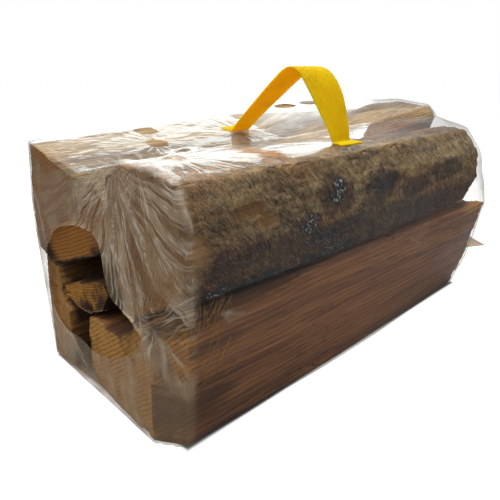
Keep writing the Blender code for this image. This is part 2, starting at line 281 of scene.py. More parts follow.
def grainGroup():
    # Growth rings round the log's pith, which run along the log as streaks, with fine fibres.
    group, given, result = newGroup(
        "wood grain",
        {"Pith Y": 0.0, "Pith Z": 0.0, "Ring Width": 0.003, "Pale": (0.5, 0.3, 0.1),
         "Dark": (0.2, 0.1, 0.03), "Stain": (0.1, 0.05, 0.02), "Stain Share": 0.4},
        ("Colour", "Height", "Roughness"),
    )
    place = objectPlace(group)
    parts = partsOf(place)

    def fromPith(part, pith, scale):
        # The rings are swayed by a few millimetres.
        sway = minus(stretchedNoise(place, scale, 1.0), 0.5)
        return plus(minus(part, given[pith]), times(sway, 0.007))

    away = {1: fromPith(parts[1], "Pith Y", (5, 9, 9)), 2: fromPith(parts[2], "Pith Z", (6, 8, 10))}
    reach = lengthOf(put(group, "CombineXYZ", away).outputs[0])
    uneven = stretchedNoise(place, (3, 26, 26), 2.0)
    phase = sums("FRACT", plus(sums("DIVIDE", reach, given["Ring Width"]), times(uneven, 0.9)))
    late = times(fade(phase, 0.35, 0.9), fade(phase, 1.0, 0.94))
    fibre = stretchedNoise(place, (9, 900, 900), 3.0, 0.65)
    streak = stretchedNoise(place, (3.5, 110, 110), 3.0, 0.6)
    strong = fade(stretchedNoise(place, (20, 55, 55), 2.0), 0.3, 0.7, 0.3, 0.85)
    colour = blendColour(times(late, strong), given["Pale"], given["Dark"])
    stained = times(fade(streak, 0.42, 0.66), given["Stain Share"])
    colour = blendColour(stained, colour, given["Stain"])
    fill(result, {
        "Colour": toned(colour, fade(fibre, 0.25, 0.75, 0.62, 1.3)),
        "Height": minus(times(fibre, 1.2), times(late, 0.35)),
        "Roughness": fade(fibre, 0.2, 0.8, 0.92, 0.68)})
    return group


def barkGroup():
    # Mottled bark: broad patches crossed by slanting fibres, with pale flecks on the darkest parts.
    group, given, result = newGroup(
        "bark skin",
        {"Warm": (0.12, 0.08, 0.04), "Olive": (0.1, 0.08, 0.03), "Dark": (0.03, 0.02, 0.015),
         "Fleck": (0.60, 0.63, 0.58), "Dull": (0.08, 0.05, 0.04), "Darkness": 0.0},
        ("Colour", "Height", "Roughness"),
    )
    place = objectPlace(group)
    darkness = given["Darkness"]
    # The fibres slant down the log's side: one turned axis runs across them, the other along.
    turned = put(group, "VectorRotate", {"Vector": place, "Angle": math.radians(38)},
                 rotation_type="Y_AXIS").outputs[0]
    patch = stretchedNoise(place, (24, 60, 60), 5.0, 0.7)
    broad = stretchedNoise(place, (9, 25, 25), 3.0)
    hair = stretchedNoise(turned, (560, 260, 110), 3.0, 0.65)
    fine = stretchedNoise(turned, (1300, 700, 300), 2.0, 0.65)
    hairy = fade(stretchedNoise(place, (17, 40, 40), 2.0), 0.40, 0.60, 0.15, 1.0)
    mottle = plus(times(patch, 0.8), times(times(minus(hair, 0.5), hairy), 0.8))
    light = fade(mottle, 0.26, 0.48, 0.22, 1.0)
    tan = blendColour(fade(broad, 0.38, 0.62), given["Warm"], given["Olive"])
    # Long dull streaks take over where it darkens, then a blue black. The darkness comes from knots and
    # from painted shade on the low parts and in the seams.
    streak = fade(stretchedNoise(place, (9, 60, 95), 3.0, 0.6), 0.38, 0.62)
    dull = blendColour(streak, given["Dark"], given["Dull"])
    # The dark parts' borders are frayed by the mottling.
    frayed = times(times(darkness, minus(1.0, darkness)), minus(mottle, 0.37))
    deep = minus(darkness, times(frayed, 5.0))
    colour = blendColour(light, given["Dark"], tan)
    colour = blendColour(fade(deep, 0.0, 0.8, 0.0, 0.88), colour, dull)
    colour = blendColour(fade(deep, 0.74, 0.9), colour, (0.030, 0.030, 0.036))
    grit = fade(stretchedNoise(place, (120, 160, 160), 3.0, 0.7), 0.3, 0.7, 0.65, 1.4)
    colour = toned(colour, times(fade(fine, 0.28, 0.72, 0.55, 1.6), grit))
    speck = fade(stretchedNoise(turned, (520, 420, 330), 2.0), 0.53, 0.65)
    where = fade(stretchedNoise(place, (22, 30, 30), 2.0), 0.52, 0.64)
    frost = times(speck, plus(times(where, 0.12), times(fade(deep, 0.90, 1.0), 1.2)))
    frost = times(sums("MINIMUM", frost, 1.0), 0.9)
    fill(result, {
        "Colour": blendColour(frost, colour, given["Fleck"]),
        "Height": plus(patch, times(plus(hair, fine), 0.7)),
        "Roughness": fade(hair, 0.3, 0.7, 0.95, 0.7)})
    return group


def wrinkleGroup():
    # Wrinkles that fan out from a point: noise on the heading from it, slow along the radius,
    # bent a little and broken into lengths.
    group, given, result = newGroup(
        "radial wrinkles",
        {"U": 0.0, "V": 0.0, "Count": 8.0, "Reach": 0.1, "Width": 0.05},
        ("Line", "Wave", "Band"),
    )
    flat = joined(group, given["U"], given["V"])
    drift = put(group, "TexNoise", {"Vector": flat, "Scale": 38.0, "Detail": 2.0}).outputs["Color"]
    drift = moved("MULTIPLY", moved("SUBTRACT", drift, (0.5, 0.5, 0.5)), (0.013, 0.013, 0.0))
    flat = moved("ADD", flat, drift)
    radius = lengthOf(flat)
    heading = put(group, "VectorMath", {0: flat}, operation="NORMALIZE").outputs[0]
    parts = partsOf(heading)
    spot = joined(group, times(parts[0], given["Count"]), times(parts[1], given["Count"]),
                  times(radius, 14.0))
    found = put(group, "TexNoise", {"Vector": spot, "Scale": 1.0, "Detail": 2.0}).outputs["Fac"]
    near = fade(radius, 0.0, given["Reach"], 1.0, 0.0)
    line = fade(sums("ABSOLUTE", minus(found, 0.5)), 0.0, given["Width"], 1.0, 0.0)
    broken = fade(put(group, "TexNoise", {"Vector": flat, "Scale": 36.0}).outputs["Fac"], 0.38, 0.56)
    fill(result, {"Line": times(times(line, broken), near), "Wave": times(found, near), "Band": found})
    return group


grain = grainGroup()
barkSkin = barkGroup()
wrinkles = wrinkleGroup()
print("shader groups made")


def logMaterial(name, log):
    # Wood and bark by the log's masks, with painted shade in its cracks and deep hollows; ends are fresher
    # than the sides.
    material, tree, shader, _ = newMaterial(name)
    ending, isBark, dark = (attribute(tree, label) for label in ("ending", "bark", "dark"))
    pithY, pithZ = toFrame((0, *log["pith"]))[1:]
    wood = useGroup(tree, grain, {
        "Pith Y": pithY, "Pith Z": pithZ, "Ring Width": log["ringWidth"] * mm,
        "Pale": blendColour(ending, log["sidePale"], log["endPale"]),
        "Dark": blendColour(ending, log["sideDark"], log["endDark"]),
        "Stain": log["stain"], "Stain Share": fade(ending, 0.0, 1.0, 0.75, 0.25)})
    rind = useGroup(tree, barkSkin, {
        "Warm": log["barkWarm"], "Olive": log["barkOlive"], "Dark": log["barkDark"],
        "Dull": log["barkDull"], "Darkness": dark})
    colour = blendColour(isBark, wood["Colour"], rind["Colour"])
    # On bare wood the dark mask paints the slab's bark end and knots, and painted shade on inner faces and
    # seams.
    woodKnotsAndShade = times(times(dark, 0.92), minus(1.0, isBark))
    colour = blendColour(woodKnotsAndShade, colour, log["barkDark"])
    # Cracks, checks and deep carving are darkened: painted shade in the crevices.
    creviceShadeColour = tuple(part * 0.25 for part in log["stain"])
    colour = blendColour(times(attribute(tree, "creviceShade"), 0.75), colour, creviceShadeColour)
    height = blend(isBark, wood["Height"], rind["Height"])
    fill(shader, {
        "Base Color": blendColour(attribute(tree, "straw"), colour, log["splinter"]),
        "Roughness": blend(isBark, wood["Roughness"], rind["Roughness"]),
        "Normal": put(tree, "Bump", {"Height": height, "Strength": 0.8, "Distance": 0.0009}).outputs[0],
        "Specular IOR Level": 0.35})
    return material


# Logs.
def outlinesAt(log, xs):
    # The log's outline at each X, blended between its two nearest stations: (X, corner, YZ).
    places = np.array([place for place, _ in log["stations"]], float)
    outlines = np.array([outline for _, outline in log["stations"]], float)
    xs = np.clip(xs, places[0], places[-1])
    after = np.clip(np.searchsorted(places, xs), 1, len(places) - 1)
    share = ((xs - places[after - 1]) / (places[after] - places[after - 1]))[:, None, None]
    return outlines[after - 1] * (1 - share) + outlines[after] * share


def leaned(log, xs, middle, section):
    # X of points of a section, moved by the slope of the nearer end: (row, point).
    first, last = log["stations"][0][0], log["stations"][-1][0]
    t = (xs - first) / (last - first)
    near, far = (np.array(slope) for slope in log["endSlopes"])
    away = section - middle
    return xs[:, None] + (away @ near) * np.maximum(1 - 2 * t, 0)[:, None] \
        - (away @ far) * np.maximum(2 * t - 1, 0)[:, None]


def splitCarving(along, around, log):
    # Depth of a torn face: long stepped ledges, fibres drawn out along the log, thin checks.
    seed = log["seed"]
    around = around + 4 * noise(across(along / 70, around / 40), seed)
    ledge = noise(across(along / 230, around / 17), seed + 1)
    ledge = smoothStep(-0.05, 0.03, ledge) + 0.8 * smoothStep(0.3, 0.36, ledge)
    roll = 0.5 + 0.5 * layered(across(along / 120, around / 34), seed + 2, 2)
    fibre = noise(across(along / 38, around / 1.7), seed + 3) * 0.5
    fibre += noise(across(along / 55, around / 4.1), seed + 4)
    check = np.abs(noise(across(along / 95, around / 11), seed + 5))
    check = smoothStep(0.05, 0.0, check)
    check *= smoothStep(0.0, 0.4, noise(across(along / 60, around / 30), seed + 6))
    return log["ledge"] * ledge / 1.8 + log["roll"] * roll + 0.22 * (fibre + 1) + 1.3 * check


def barkCarving(along, around, log):
    # Depth of bark: slow lumps, plates parted by cracks, and ragged short-grained roughness.
    seed = log["seed"] + 20
    lump = 0.5 + 0.5 * layered(across(along / 46, around / 30), seed, 3)
    bent = across(along / 21 + 0.7 * noise(across(along / 15, around / 12), seed + 4), around / 9)
    crack = smoothStep(0.28, 0.0, crackDistance(bent, seed + 5))
    crack *= smoothStep(-0.35, 0.35, noise(across(along / 50, around / 26), seed + 9))
    # Slanting fibres: one turned axis across them, the other along.
    slanted = across((along * 0.86 + around * 0.5) / 3.6, (along * 0.5 - around * 0.86) / 10)
    ragged = layered(slanted, seed + 10, 3, 0.6)
    return log["lump"] * lump + 1.3 * crack + 0.75 * (ragged + 0.7)


def spotMask(spots, places, seed):
    # Ragged-edged ellipsoids: each has a centre, a reach along and across the log, and a strength.
    mask = np.zeros(places.shape[:-1])
    for centre, reachAlong, reachAcross, strength in spots:
        away = (places - np.array(centre)) / np.array([reachAlong, reachAcross, reachAcross])
        away = np.linalg.norm(away, axis=-1) + 0.55 * layered(places / 6.0, seed, 3, 0.6)
        mask = np.maximum(mask, strength * smoothStep(1.25, 0.50, away))
    return mask


def blurred(values, axis=0):
    # Each value averaged with its two neighbours round a closed loop, the middle one twice.
    return (np.roll(values, 1, axis) + 2 * values + np.roll(values, -1, axis)) / 4


def logRings(log, xs, columns):
    # A ring of points over the outline at each X, and for each column how far round it is and
    # whether it is bark. Also the length of the whole loop, and which way the ring runs.
    outlines = outlinesAt(log, xs)
    shape = outlines[len(xs) // 3]
    beside = np.roll(shape, -1, axis=0)
    sides = np.linalg.norm(beside - shape, axis=1)
    counts = np.maximum(2, np.round(sides / sides.sum() * columns).astype(int))
    edge = np.repeat(np.arange(len(sides)), counts)
    share = np.concatenate([np.arange(count) / count for count in counts])[:, None]
    ring = outlines[:, edge] * (1 - share) + np.roll(outlines, -1, axis=1)[:, edge] * share
    for _ in range(log["rounding"]):
        ring = blurred(ring, 1)
    girth = np.concatenate([[0], np.cumsum(sides)])[edge] + share[:, 0] * sides[edge]
    isBark = np.isin(edge, log["bark"]).astype(float)
    for _ in range(6):
        isBark = blurred(isBark)
    clockwise = (beside[:, 0] - shape[:, 0]) @ (beside[:, 1] + shape[:, 1]) > 0
    return ring, girth[None], isBark[None], sides.sum(), clockwise


def outwardOf(ring, middle):
    # Outward in the section: the tangent turned a quarter, to the side that leads from the middle.
    tangent = np.roll(ring, -1, axis=1) - np.roll(ring, 1, axis=1)
    tangent /= np.linalg.norm(tangent, axis=-1, keepdims=True)
    outward = np.stack([-tangent[..., 1], tangent[..., 0]], -1)
    return outward * np.sign((outward * (ring - middle)).sum((0, 1, 2)))


def endCap(log, rim, inwards, capRows):
    # An end drawn in from its rim to its middle, with saw marks and checks that radiate from the
    # pith. It gives the points, the checks and the dark spots.
    seed = log["seed"]
    shares = (1 - np.linspace(0, 1, capRows + 2)[1:-1] ** 0.85)[:, None, None]
    centre = rim.mean(0)
    cap = centre + (rim[None] - centre) * shares
    yz = cap[..., 1:]
    pith = yz - np.array(log["pith"])
    angle = np.arctan2(pith[..., 1], pith[..., 0])
    distance = np.linalg.norm(pith, axis=-1)
    check = smoothStep(0.05, 0.0, np.abs(noise(across(angle * 11, distance / 300), seed + 80)))
    check *= smoothStep(0.15, 0.5, noise(across(angle * 3, distance / 26), seed + 83))
    sawn = layered(yz @ np.array([[0.86, -0.5], [0.5, 0.86]]) / [2.2, 19.0], seed + 81, 2)
    rough = layered(yz / 5.5, seed + 82, 3, 0.6)
    dent = 0.30 * (sawn + 1) + log["endRough"] * (rough + 1) + 1.4 * check
    cap[..., 0] += inwards * dent * smoothStep(1.0, 0.93, shares[..., 0])
    clean = 1 - spotMask(log["freshAndPaintedLight"], cap, seed + 45)
    return cap, check, spotMask(log["knotsAndPaintedShade"], cap, seed + 50) * clean


def logSurface(log, rows, columns, capRows):
    # Rings of points from the near end's middle, out and along the log, to the far end's middle.
    seed = log["seed"]
    first, last = log["stations"][0][0], log["stations"][-1][0]
    xs = first + (last - first) * np.linspace(0, 1, rows) ** log["crowding"]
    ring, girth, isBark, loop, clockwise = logRings(log, xs, columns)
    columns = ring.shape[1]
    middle = ring.mean(1, keepdims=True)
    outward = outwardOf(ring, middle)
    along = xs[:, None]
    # The carving's pattern must meet itself where the ring closes, so its first stretch is blended.
    seam = smoothStep(0.0, 12.0, girth)

    def closed(pattern):
        return pattern(along, girth, log) * seam + pattern(along, girth + loop, log) * (1 - seam)

    section = np.concatenate([np.broadcast_to(along[..., None], (rows, columns, 1)), ring], -1)
    bare = spotMask(log["bare"], section, seed + 40)
    freshAndPaintedLight = spotMask(log["freshAndPaintedLight"], section, seed + 45)
    # The shade band: painted shade on the log's low part, where it tucks under or rests on what lies below.
    zTop, zLow, amount = log["shade"]
    drift = 9 * layered(section / [60.0, 20.0, 20.0], seed + 55, 3)
    shaded = amount * smoothStep(zTop, zLow, section[..., 2] + drift)
    dark = np.maximum(spotMask(log["knotsAndPaintedShade"], section, seed + 50), shaded) * (1 - freshAndPaintedLight)
    ragged = 0.3 * noise(across(along / 16, girth / 5), seed + 60)
    barkMask = smoothStep(0.35, 0.65, isBark + ragged) * (1 - bare)
    depth = closed(splitCarving) * (1 - barkMask) + closed(barkCarving) * barkMask
    depth = depth - 0.9 * dark * barkMask + 0.8 * bare
    depth = np.clip(depth, 0.0, log["deepest"]) - log["proud"]
    for centre, reach, height in log["knobs"]:
        away = np.linalg.norm((section - centre) / reach, axis=-1)
        depth = depth - height * np.exp(-away**2)
    # The ends' rims are worn round and splintered.
    toEnd = np.minimum(xs - first, last - xs)[:, None]
    worn = log["rimWear"] * (1 + 0.9 * noise(across(along * 0, girth / 3.1), seed + 70))
    depth = depth + worn * np.exp(-toEnd / 1.6)
    ring = ring - outward * depth[..., None]
    side = np.concatenate([leaned(log, xs, middle, ring)[..., None], ring], -1)
    near, nearCheck, nearDark = endCap(log, side[0], 1, capRows)
    far, farCheck, farDark = endCap(log, side[-1], -1, capRows)
    grid = np.concatenate([near[::-1], side, far])
    total = len(grid)
    points = np.concatenate([grid.reshape(-1, 3), [near[-1].mean(0)], [far[-1].mean(0)]])
    faces = [ringFaces(total, columns), *poleFaces(total, columns)]
    if clockwise:  # such a ring's faces point inwards
        faces = [group[:, ::-1] for group in faces]

    def whole(sideValues, nearValues, farValues):
        # One value for each point, in the order of the points.
        parts = [np.broadcast_to(v, (n, columns)).ravel() for v, n in
                 ((nearValues, capRows), (sideValues, rows), (farValues, capRows))]
        return np.concatenate([*parts, parts[0][:1], parts[2][-1:]])

    # How deep the carving goes, for the painted shade in the crevices.
    cavity = smoothStep(log["deepest"] * 0.45, log["deepest"], depth + log["proud"])
    masks = {
        "bark": whole(barkMask, 0.0, 0.0),
        "ending": whole(np.maximum(np.exp(-toEnd / 0.9), freshAndPaintedLight), 1.0, 1.0),
        "creviceShade": whole(cavity, nearCheck[::-1], farCheck),
        "dark": whole(dark, nearDark[::-1], farDark),
        "straw": whole(0.0, 0.0, 0.0),
    }
    return points, faces, masks


def slivers(log):
    # Thin tapered splinters lying on the log: each is four short sections with three corners.
    given = log["slivers"]
    count = given["count"]
    rng = np.random.default_rng(log["seed"])
    x = rng.uniform(*given["within"], count)
    outline = outlinesAt(log, x)
    edge = np.array(given["edges"])[rng.integers(0, len(given["edges"]), count)]
    share = rng.uniform(0.05, 0.95, count)[:, None]
    a = outline[np.arange(count), edge]
    b = outline[np.arange(count), (edge + 1) % outline.shape[1]]
    foot = a * (1 - share) + b * share
    run = (b - a) / np.linalg.norm(b - a, axis=1, keepdims=True)
    out = foot - outline.mean(1)
    out -= run * (out * run).sum(1, keepdims=True)
    out /= np.linalg.norm(out, axis=1, keepdims=True)
    length = rng.uniform(*given["length"], count)
    turn = rng.normal(*given["turn"], count)
    width = rng.uniform(*given["width"], count)
    s = np.linspace(0, 1, 5)
    bend = rng.normal(0, 0.3, count)[:, None] * (s - 0.5) ** 2
    step = length[:, None] * (s - 0.5)
    alongX = x[:, None] + step * np.cos(turn)[:, None]
    aside = step * np.sin(turn)[:, None] + bend * length[:, None]
    depth = -rng.uniform(0.3, 1.2, count)[:, None] + given["lift"] * np.sin(math.pi * s)
    thin = width[:, None] * np.sin(math.pi * np.clip(s, 0.06, 0.94)) ** 0.6
    angles = np.arange(3) * 2 * math.pi / 3
    sideways = thin[..., None] * np.cos(angles)
    upward = thin[..., None] * np.sin(angles)
    yz = foot[:, None, None] + run[:, None, None] * (aside[..., None] + sideways)[..., None] \
        + out[:, None, None] * (depth[..., None] + upward)[..., None]
    xAll = alongX[..., None] - sideways * np.sin(turn)[:, None, None]
    points = np.concatenate([xAll[..., None], yz], -1)
    base = ringFaces(len(s), 3)
    ends = np.array([[0, 2, 1], [12, 13, 14]])
    shift = (np.arange(count) * 15)[:, None, None]
    return points.reshape(-1, 3), (base[None] + shift).reshape(-1, 4), (ends[None] + shift).reshape(-1, 3)


def makeLog(name, node, log):
    points, faces, masks = logSurface(log, *log["fineness"])
    if log["slivers"]:
        extra, quads, ends = slivers(log)
        faces = [*faces, quads + len(points), ends + len(points)]
        points = np.concatenate([points, extra])
        straw = np.repeat(np.random.default_rng(3).uniform(0.0, 0.9, log["slivers"]["count"]) ** 2, 15)
        added = {"bark": 0.0, "ending": 1.0, "creviceShade": 0.0, "dark": 0.0, "straw": straw}
        for label, value in added.items():
            masks[label] = np.concatenate([masks[label], np.broadcast_to(value, len(extra))])
    return makePiece(name, toFrame(points), faces, masks, logMaterial(name, log), node, 55)


plainLog = {
    "knobs": [], "bark": (), "bare": [], "freshAndPaintedLight": [], "knotsAndPaintedShade": [], "slivers": None,
    "shade": (0, -10, 0.0), "rounding": 1, "proud": 0.5, "splinter": (0.50, 0.36, 0.19),
}

# Stations: X, and the outline there as Y and Z. Bark: the outline's sides that have it. Spots on
# the surface, bare, fresh (some of them painted light) or knots and painted shade: centre, reach
# along and across the log, and strength. Shade: painted shade on the low part, where it starts and
# is full, and how dark. Knobs: centre, reach and height.
upperFront = plainLog | {
    "stations": [
        (0.0, [(2, 180), (27, 186), (54, 185), (80, 177), (82, 150), (82, 120), (77, 93),
               (62, 74), (44, 81), (18, 94), (-3, 104), (-7, 134), (-5, 160)]),
        (200.0, [(3, 180), (24, 183), (48, 182), (70, 178), (74, 160), (76, 136), (74, 110),
                 (60, 90), (40, 93), (18, 96), (-3, 99), (-9, 128), (-7, 158)]),
        (408.0, [(6, 181), (18, 183), (30, 183), (38, 180), (46, 162), (58, 142), (72, 116),
                 (60, 99), (44, 98), (20, 100), (-2, 102), (-15, 130), (-12, 158)]),
    ],
    "endSlopes": ((0.02, -0.02), (0.0, -0.03)),
    "bark": (0, 9, 10, 11, 12),
    "knobs": [((33, 44, 185), (7, 6, 9), 4.0), ((3, 60, 183), (8, 8, 9), 2.5)],
    "bare": [((56, -6, 156), 17, 8, 1.0), ((72, -6, 146), 12, 7, 0.9), ((8, -6, 140), 12, 22, 0.7)],
    "freshAndPaintedLight": [((58, -6, 155), 20, 9, 0.9), ((73, -6, 146), 14, 8, 0.9), ((6, -6, 130), 12, 40, 0.6),
              ((33, 44, 188), 10, 9, 1.0), ((2, 60, 184), 10, 10, 0.8)],
    # The spots low along the front, at Z 103-104, are painted shadow in the seam with the log below.
    "knotsAndPaintedShade": [((151, -6, 154), 14, 13, 1.0), ((117, -6, 136), 14, 13, 1.0), ((200, -8, 136), 26, 9, 0.7),
              ((134, -6, 120), 30, 10, 0.9), ((215, -8, 152), 34, 14, 0.86), ((24, -6, 163), 12, 7, 0.45),
              ((45, -6, 170), 14, 5, 0.5), ((70, -4, 103), 60, 9, 0.92), ((150, -4, 103), 80, 9, 0.92),
              ((20, 0, 103), 30, 10, 0.96), ((250, -9, 104), 80, 7, 0.86), ((330, -10, 148), 40, 13, 0.70),
              ((270, -11, 140), 30, 12, 0.80), ((150, -6, 150), 32, 20, 0.72)],
    "shade": (142, 126, 0.74), "pith": (95, 128), "ringWidth": 3.1,
    "seed": 11, "crowding": 1.35, "rounding": 3, "proud": 0.6,
    "ledge": 1.8, "roll": 0.8, "lump": 2.2, "deepest": 4.0, "rimWear": 0.9, "endRough": 0.4,
    "fineness": (318, 230, 20),
    "slivers": {"count": 1100, "within": (4, 400), "edges": (10, 11, 11, 12, 12), "length": (3, 13),
                "lift": 0.5, "turn": (-0.75, 0.4), "width": (0.07, 0.17)},
    "sidePale": (0.40, 0.22, 0.09), "sideDark": (0.20, 0.095, 0.035),
    "endPale": (0.58, 0.31, 0.11), "endDark": (0.30, 0.13, 0.045), "stain": (0.13, 0.055, 0.025),
    "barkWarm": (0.34, 0.195, 0.082), "barkOlive": (0.30, 0.215, 0.105), "barkDark": (0.044, 0.029, 0.025),
    "barkDull": (0.072, 0.034, 0.026),
}
makeLog("upper_front_log", "split_upper_front", upperFront)

upperBack = plainLog | {
    "stations": [
        (1.0, [(190, 187), (160, 178), (127, 169), (97, 168), (83, 150), (83, 122),
               (108, 110), (149, 95), (176, 89.5), (194, 98), (197, 126), (194, 158)]),
        (222.0, [(190, 195), (154, 183), (124, 175), (94, 172), (75, 160), (77, 136),
                 (90, 112), (130, 103), (165, 96), (192, 101), (196, 130), (195, 162)]),
        (310.0, [(189, 205), (156, 202), (106, 199), (67, 189), (60, 176), (67, 148),
                 (86, 120), (124, 109), (160, 101), (190, 105), (195, 135), (194, 170)]),
        (410.0, [(187, 200), (150, 198), (94, 208), (57, 203), (46, 191), (61, 152),
                 (84, 122), (122, 115), (158, 108), (188, 110), (192, 136), (190, 166)]),
    ],
    "endSlopes": ((-0.01, 0.01), (0.09, -0.02)),
    "knobs": [((97, 112, 172), (11, 5, 9), 6.0)],
    # The fresh spot on the front step is painted light: paler wood on a face the lamps leave in shade.
    "bark": (6, 7), "freshAndPaintedLight": [((345, 54, 178), 90, 17, 0.7)],
    "knotsAndPaintedShade": [((0, 178, 90), 14, 17, 0.95), ((0, 93, 104), 14, 21, 1.0), ((97, 112, 178), 14, 8, 1.0)],
    "shade": (125, 105, 0.5), "pith": (275, 485), "ringWidth": 3.0,
    "seed": 23, "crowding": 1.2,
    "ledge": 1.5, "roll": 0.5, "lump": 1.6, "deepest": 2.6, "rimWear": 0.2, "endRough": 0.2,
    "fineness": (300, 250, 24),
    "sidePale": (0.56, 0.40, 0.21), "sideDark": (0.32, 0.19, 0.085),
    "endPale": (0.52, 0.20, 0.03), "endDark": (0.24, 0.08, 0.012), "stain": (0.26, 0.15, 0.07),
    "barkWarm": (0.07, 0.035, 0.018), "barkOlive": (0.06, 0.035, 0.02), "barkDark": (0.02, 0.012, 0.01),
    "barkDull": (0.03, 0.018, 0.012),
}
makeLog("upper_back_log", "split_upper_back", upperBack)

middleSlab = plainLog | {
    "stations": [
        (-2.0, [(152, 75), (130, 84), (108, 90), (90, 94), (83, 86), (94, 71), (112, 63.5),
               (128, 62), (139, 63), (150, 67)]),
        (200.0, [(148, 84), (130, 99), (108, 106), (88, 107), (79, 98), (84, 76), (110, 65),
                 (126, 63), (138, 64), (146, 71)]),
        (396.0, [(146, 84), (126, 108), (104, 115), (88, 116), (77, 108), (82, 80), (108, 66),
                 (124, 65), (135, 66), (143, 72)]),
    ],
    "endSlopes": ((0.02, 0.05), (0.03, 0.0)),
    "bark": (5, 6, 7, 8),
    "knotsAndPaintedShade": [((0, 119, 56), 30, 18, 1.0), ((0, 91, 70), 30, 21, 1.0)],
    "pith": (150, 210), "ringWidth": 2.2, "seed": 37, "crowding": 1.7,
    "ledge": 0.8, "roll": 0.3, "lump": 0.8, "deepest": 1.3, "rimWear": 0.3, "endRough": 0.7,
    "fineness": (170, 150, 20),
    # The slab's sides are coloured dark: painted shade for the deep gap between it and the logs above.
    "sidePale": (0.10, 0.04, 0.015), "sideDark": (0.05, 0.02, 0.008),
    "endPale": (0.62, 0.29, 0.045), "endDark": (0.24, 0.09, 0.018), "stain": (0.10, 0.04, 0.012),
    "barkWarm": (0.16, 0.06, 0.024), "barkOlive": (0.12, 0.05, 0.03), "barkDark": (0.03, 0.012, 0.008),
    "barkDull": (0.05, 0.02, 0.012),
}
makeLog("middle_slab", "slab_middle", middleSlab)

lowerBack = plainLog | {
    "stations": [
        (-1.0, [(177, 88.6), (163, 87), (157, 74), (152, 60), (144, 57), (142, 43),
                (141, 30), (150, 20), (158, 4), (170, 1.5), (184, 1.5), (188, 22),
                (194, 66), (193, 94)]),
        (200.0, [(178, 94), (160, 92.5), (152, 80), (148, 64), (140, 60), (138, 44),
                 (137, 29), (146, 18), (155, 4), (169, 1.5), (185, 1.5), (190, 22),
                 (194, 66), (192, 97)]),
        (402.0, [(180, 107), (160, 106), (150, 84), (145, 68), (137, 60), (136, 43),
                 (135, 28), (143, 16), (152, 4), (168, 1.5), (185, 1.5), (189, 22),
                 (193, 68), (191, 107)]),
    ],
    "endSlopes": ((0.15, 0.05), (0.02, 0.02)),
    "bark": (10, 11, 12), "bare": [((150, 192, 60), 50, 14, 1.0)],
    "freshAndPaintedLight": [((-3, 160, 50), 9, 60, 1.0)],
    # The long spot along the inner face, at Y 150, is painted shade between the logs.
    "knotsAndPaintedShade": [((260, 190, 50), 40, 12, 1.0), ((210, 150, 60), 330, 24, 0.95)],
    "pith": (70, 70), "ringWidth": 2.6, "seed": 41, "crowding": 1.3,
    "ledge": 1.5, "roll": 0.6, "lump": 1.8, "deepest": 2.4, "rimWear": 0.2, "endRough": 0.5,
    "fineness": (260, 180, 20),
    "sidePale": (0.38, 0.19, 0.07), "sideDark": (0.18, 0.08, 0.03),
    "endPale": (0.60, 0.30, 0.085), "endDark": (0.28, 0.12, 0.03), "stain": (0.12, 0.055, 0.022),
    "barkWarm": (0.24, 0.15, 0.07), "barkOlive": (0.19, 0.14, 0.07), "barkDark": (0.045, 0.034, 0.028),
    "barkDull": (0.08, 0.05, 0.035),
}
makeLog("lower_back_log", "split_lower_back", lowerBack)

lowerFront = plainLog | {
    "stations": [
        (-10.0, [(111, 62), (88, 64), (64, 68), (46, 76), (28, 86), (17, 90), (18, 72),
                 (17, 50), (17, 46), (18, 20), (20, 1.5), (40, 1.5), (74, 1.5), (106, 5),
                 (118, 16), (116, 40)]),
        (3.0, [(111, 62), (88, 65), (64, 70), (42, 79.5), (18, 92.5), (-1, 102), (-3, 76),
               (-4, 50), (-2, 45), (-2, 20), (0, 1.5), (32, 1.5), (74, 1.5), (106, 5),
               (118, 16), (116, 40)]),
        (200.0, [(107, 63), (84, 73), (62, 88.5), (42, 91.5), (18, 94.5), (-4, 98), (-8, 74),
                 (-9, 42), (-7, 37), (-7, 17), (-5, 1.5), (30, 1.5), (72, 1.5), (104, 5),
                 (116, 16), (113, 40)]),
        (414.0, [(98, 62), (76, 74), (52, 90), (26, 97), (2, 100), (-20, 100), (-16, 76),
                 (-10, 36), (-7, 30), (-3, 14), (1, 1.5), (30, 1.5), (70, 1.5), (100, 5),
                 (112, 16), (109, 40)]),
    ],
    "endSlopes": ((0.1, 0.0), (0.0, -0.17)),
    "bark": (11, 12, 13),
    # The spots along the top edge, at Z 96-97, are a painted highlight on the edge; the one on the near end
    # is fresh wood.
    "freshAndPaintedLight": [((0, -3, 78), 9, 26, 0.9), ((400, -14, 96), 40, 8, 0.8), ((290, -12, 97), 30, 4, 0.5)],
    # Spots along the top edge at Z 97-99 are painted shadow in the seam, those at Y 52-60 painted shade on
    # the top in shadow under the upper logs, and the thin line at Z 57 a painted shadow under a ledge.
    "knotsAndPaintedShade": [((30, -4, 99), 40, 5, 1.0), ((90, -6, 98), 50, 4, 1.0), ((170, -8, 97), 60, 3, 0.8),
              ((22, 52, 74), 40, 26, 0.8), ((120, 60, 82), 90, 30, 1.0),
              ((115, -9, 57), 75, 2.5, 0.5), ((96, -8, 30), 13, 3, 0.5), ((28, -4, 70), 24, 5, 0.4)],
    "shade": (12, 4, 0.5), "pith": (270, 348), "ringWidth": 3.2,
    "seed": 53, "crowding": 1.35, "rounding": 2,
    "ledge": 2.0, "roll": 0.7, "lump": 1.0, "deepest": 2.8, "rimWear": 0.6, "endRough": 0.2,
    "fineness": (320, 250, 22),
    "slivers": {"count": 160, "within": (0, 40), "edges": (5, 6, 7), "length": (6, 22),
                "lift": 0.8, "turn": (-1.2, 0.35), "width": (0.12, 0.3)},
    "sidePale": (0.38, 0.160, 0.057), "sideDark": (0.175, 0.067, 0.024),
    "endPale": (0.72, 0.37, 0.09), "endDark": (0.36, 0.15, 0.035), "stain": (0.19, 0.075, 0.038),
    "barkWarm": (0.20, 0.11, 0.06), "barkOlive": (0.16, 0.11, 0.06), "barkDark": (0.03, 0.024, 0.024),
    "barkDull": (0.06, 0.035, 0.025),
}
makeLog("lower_front_log", "split_lower_front", lowerFront)

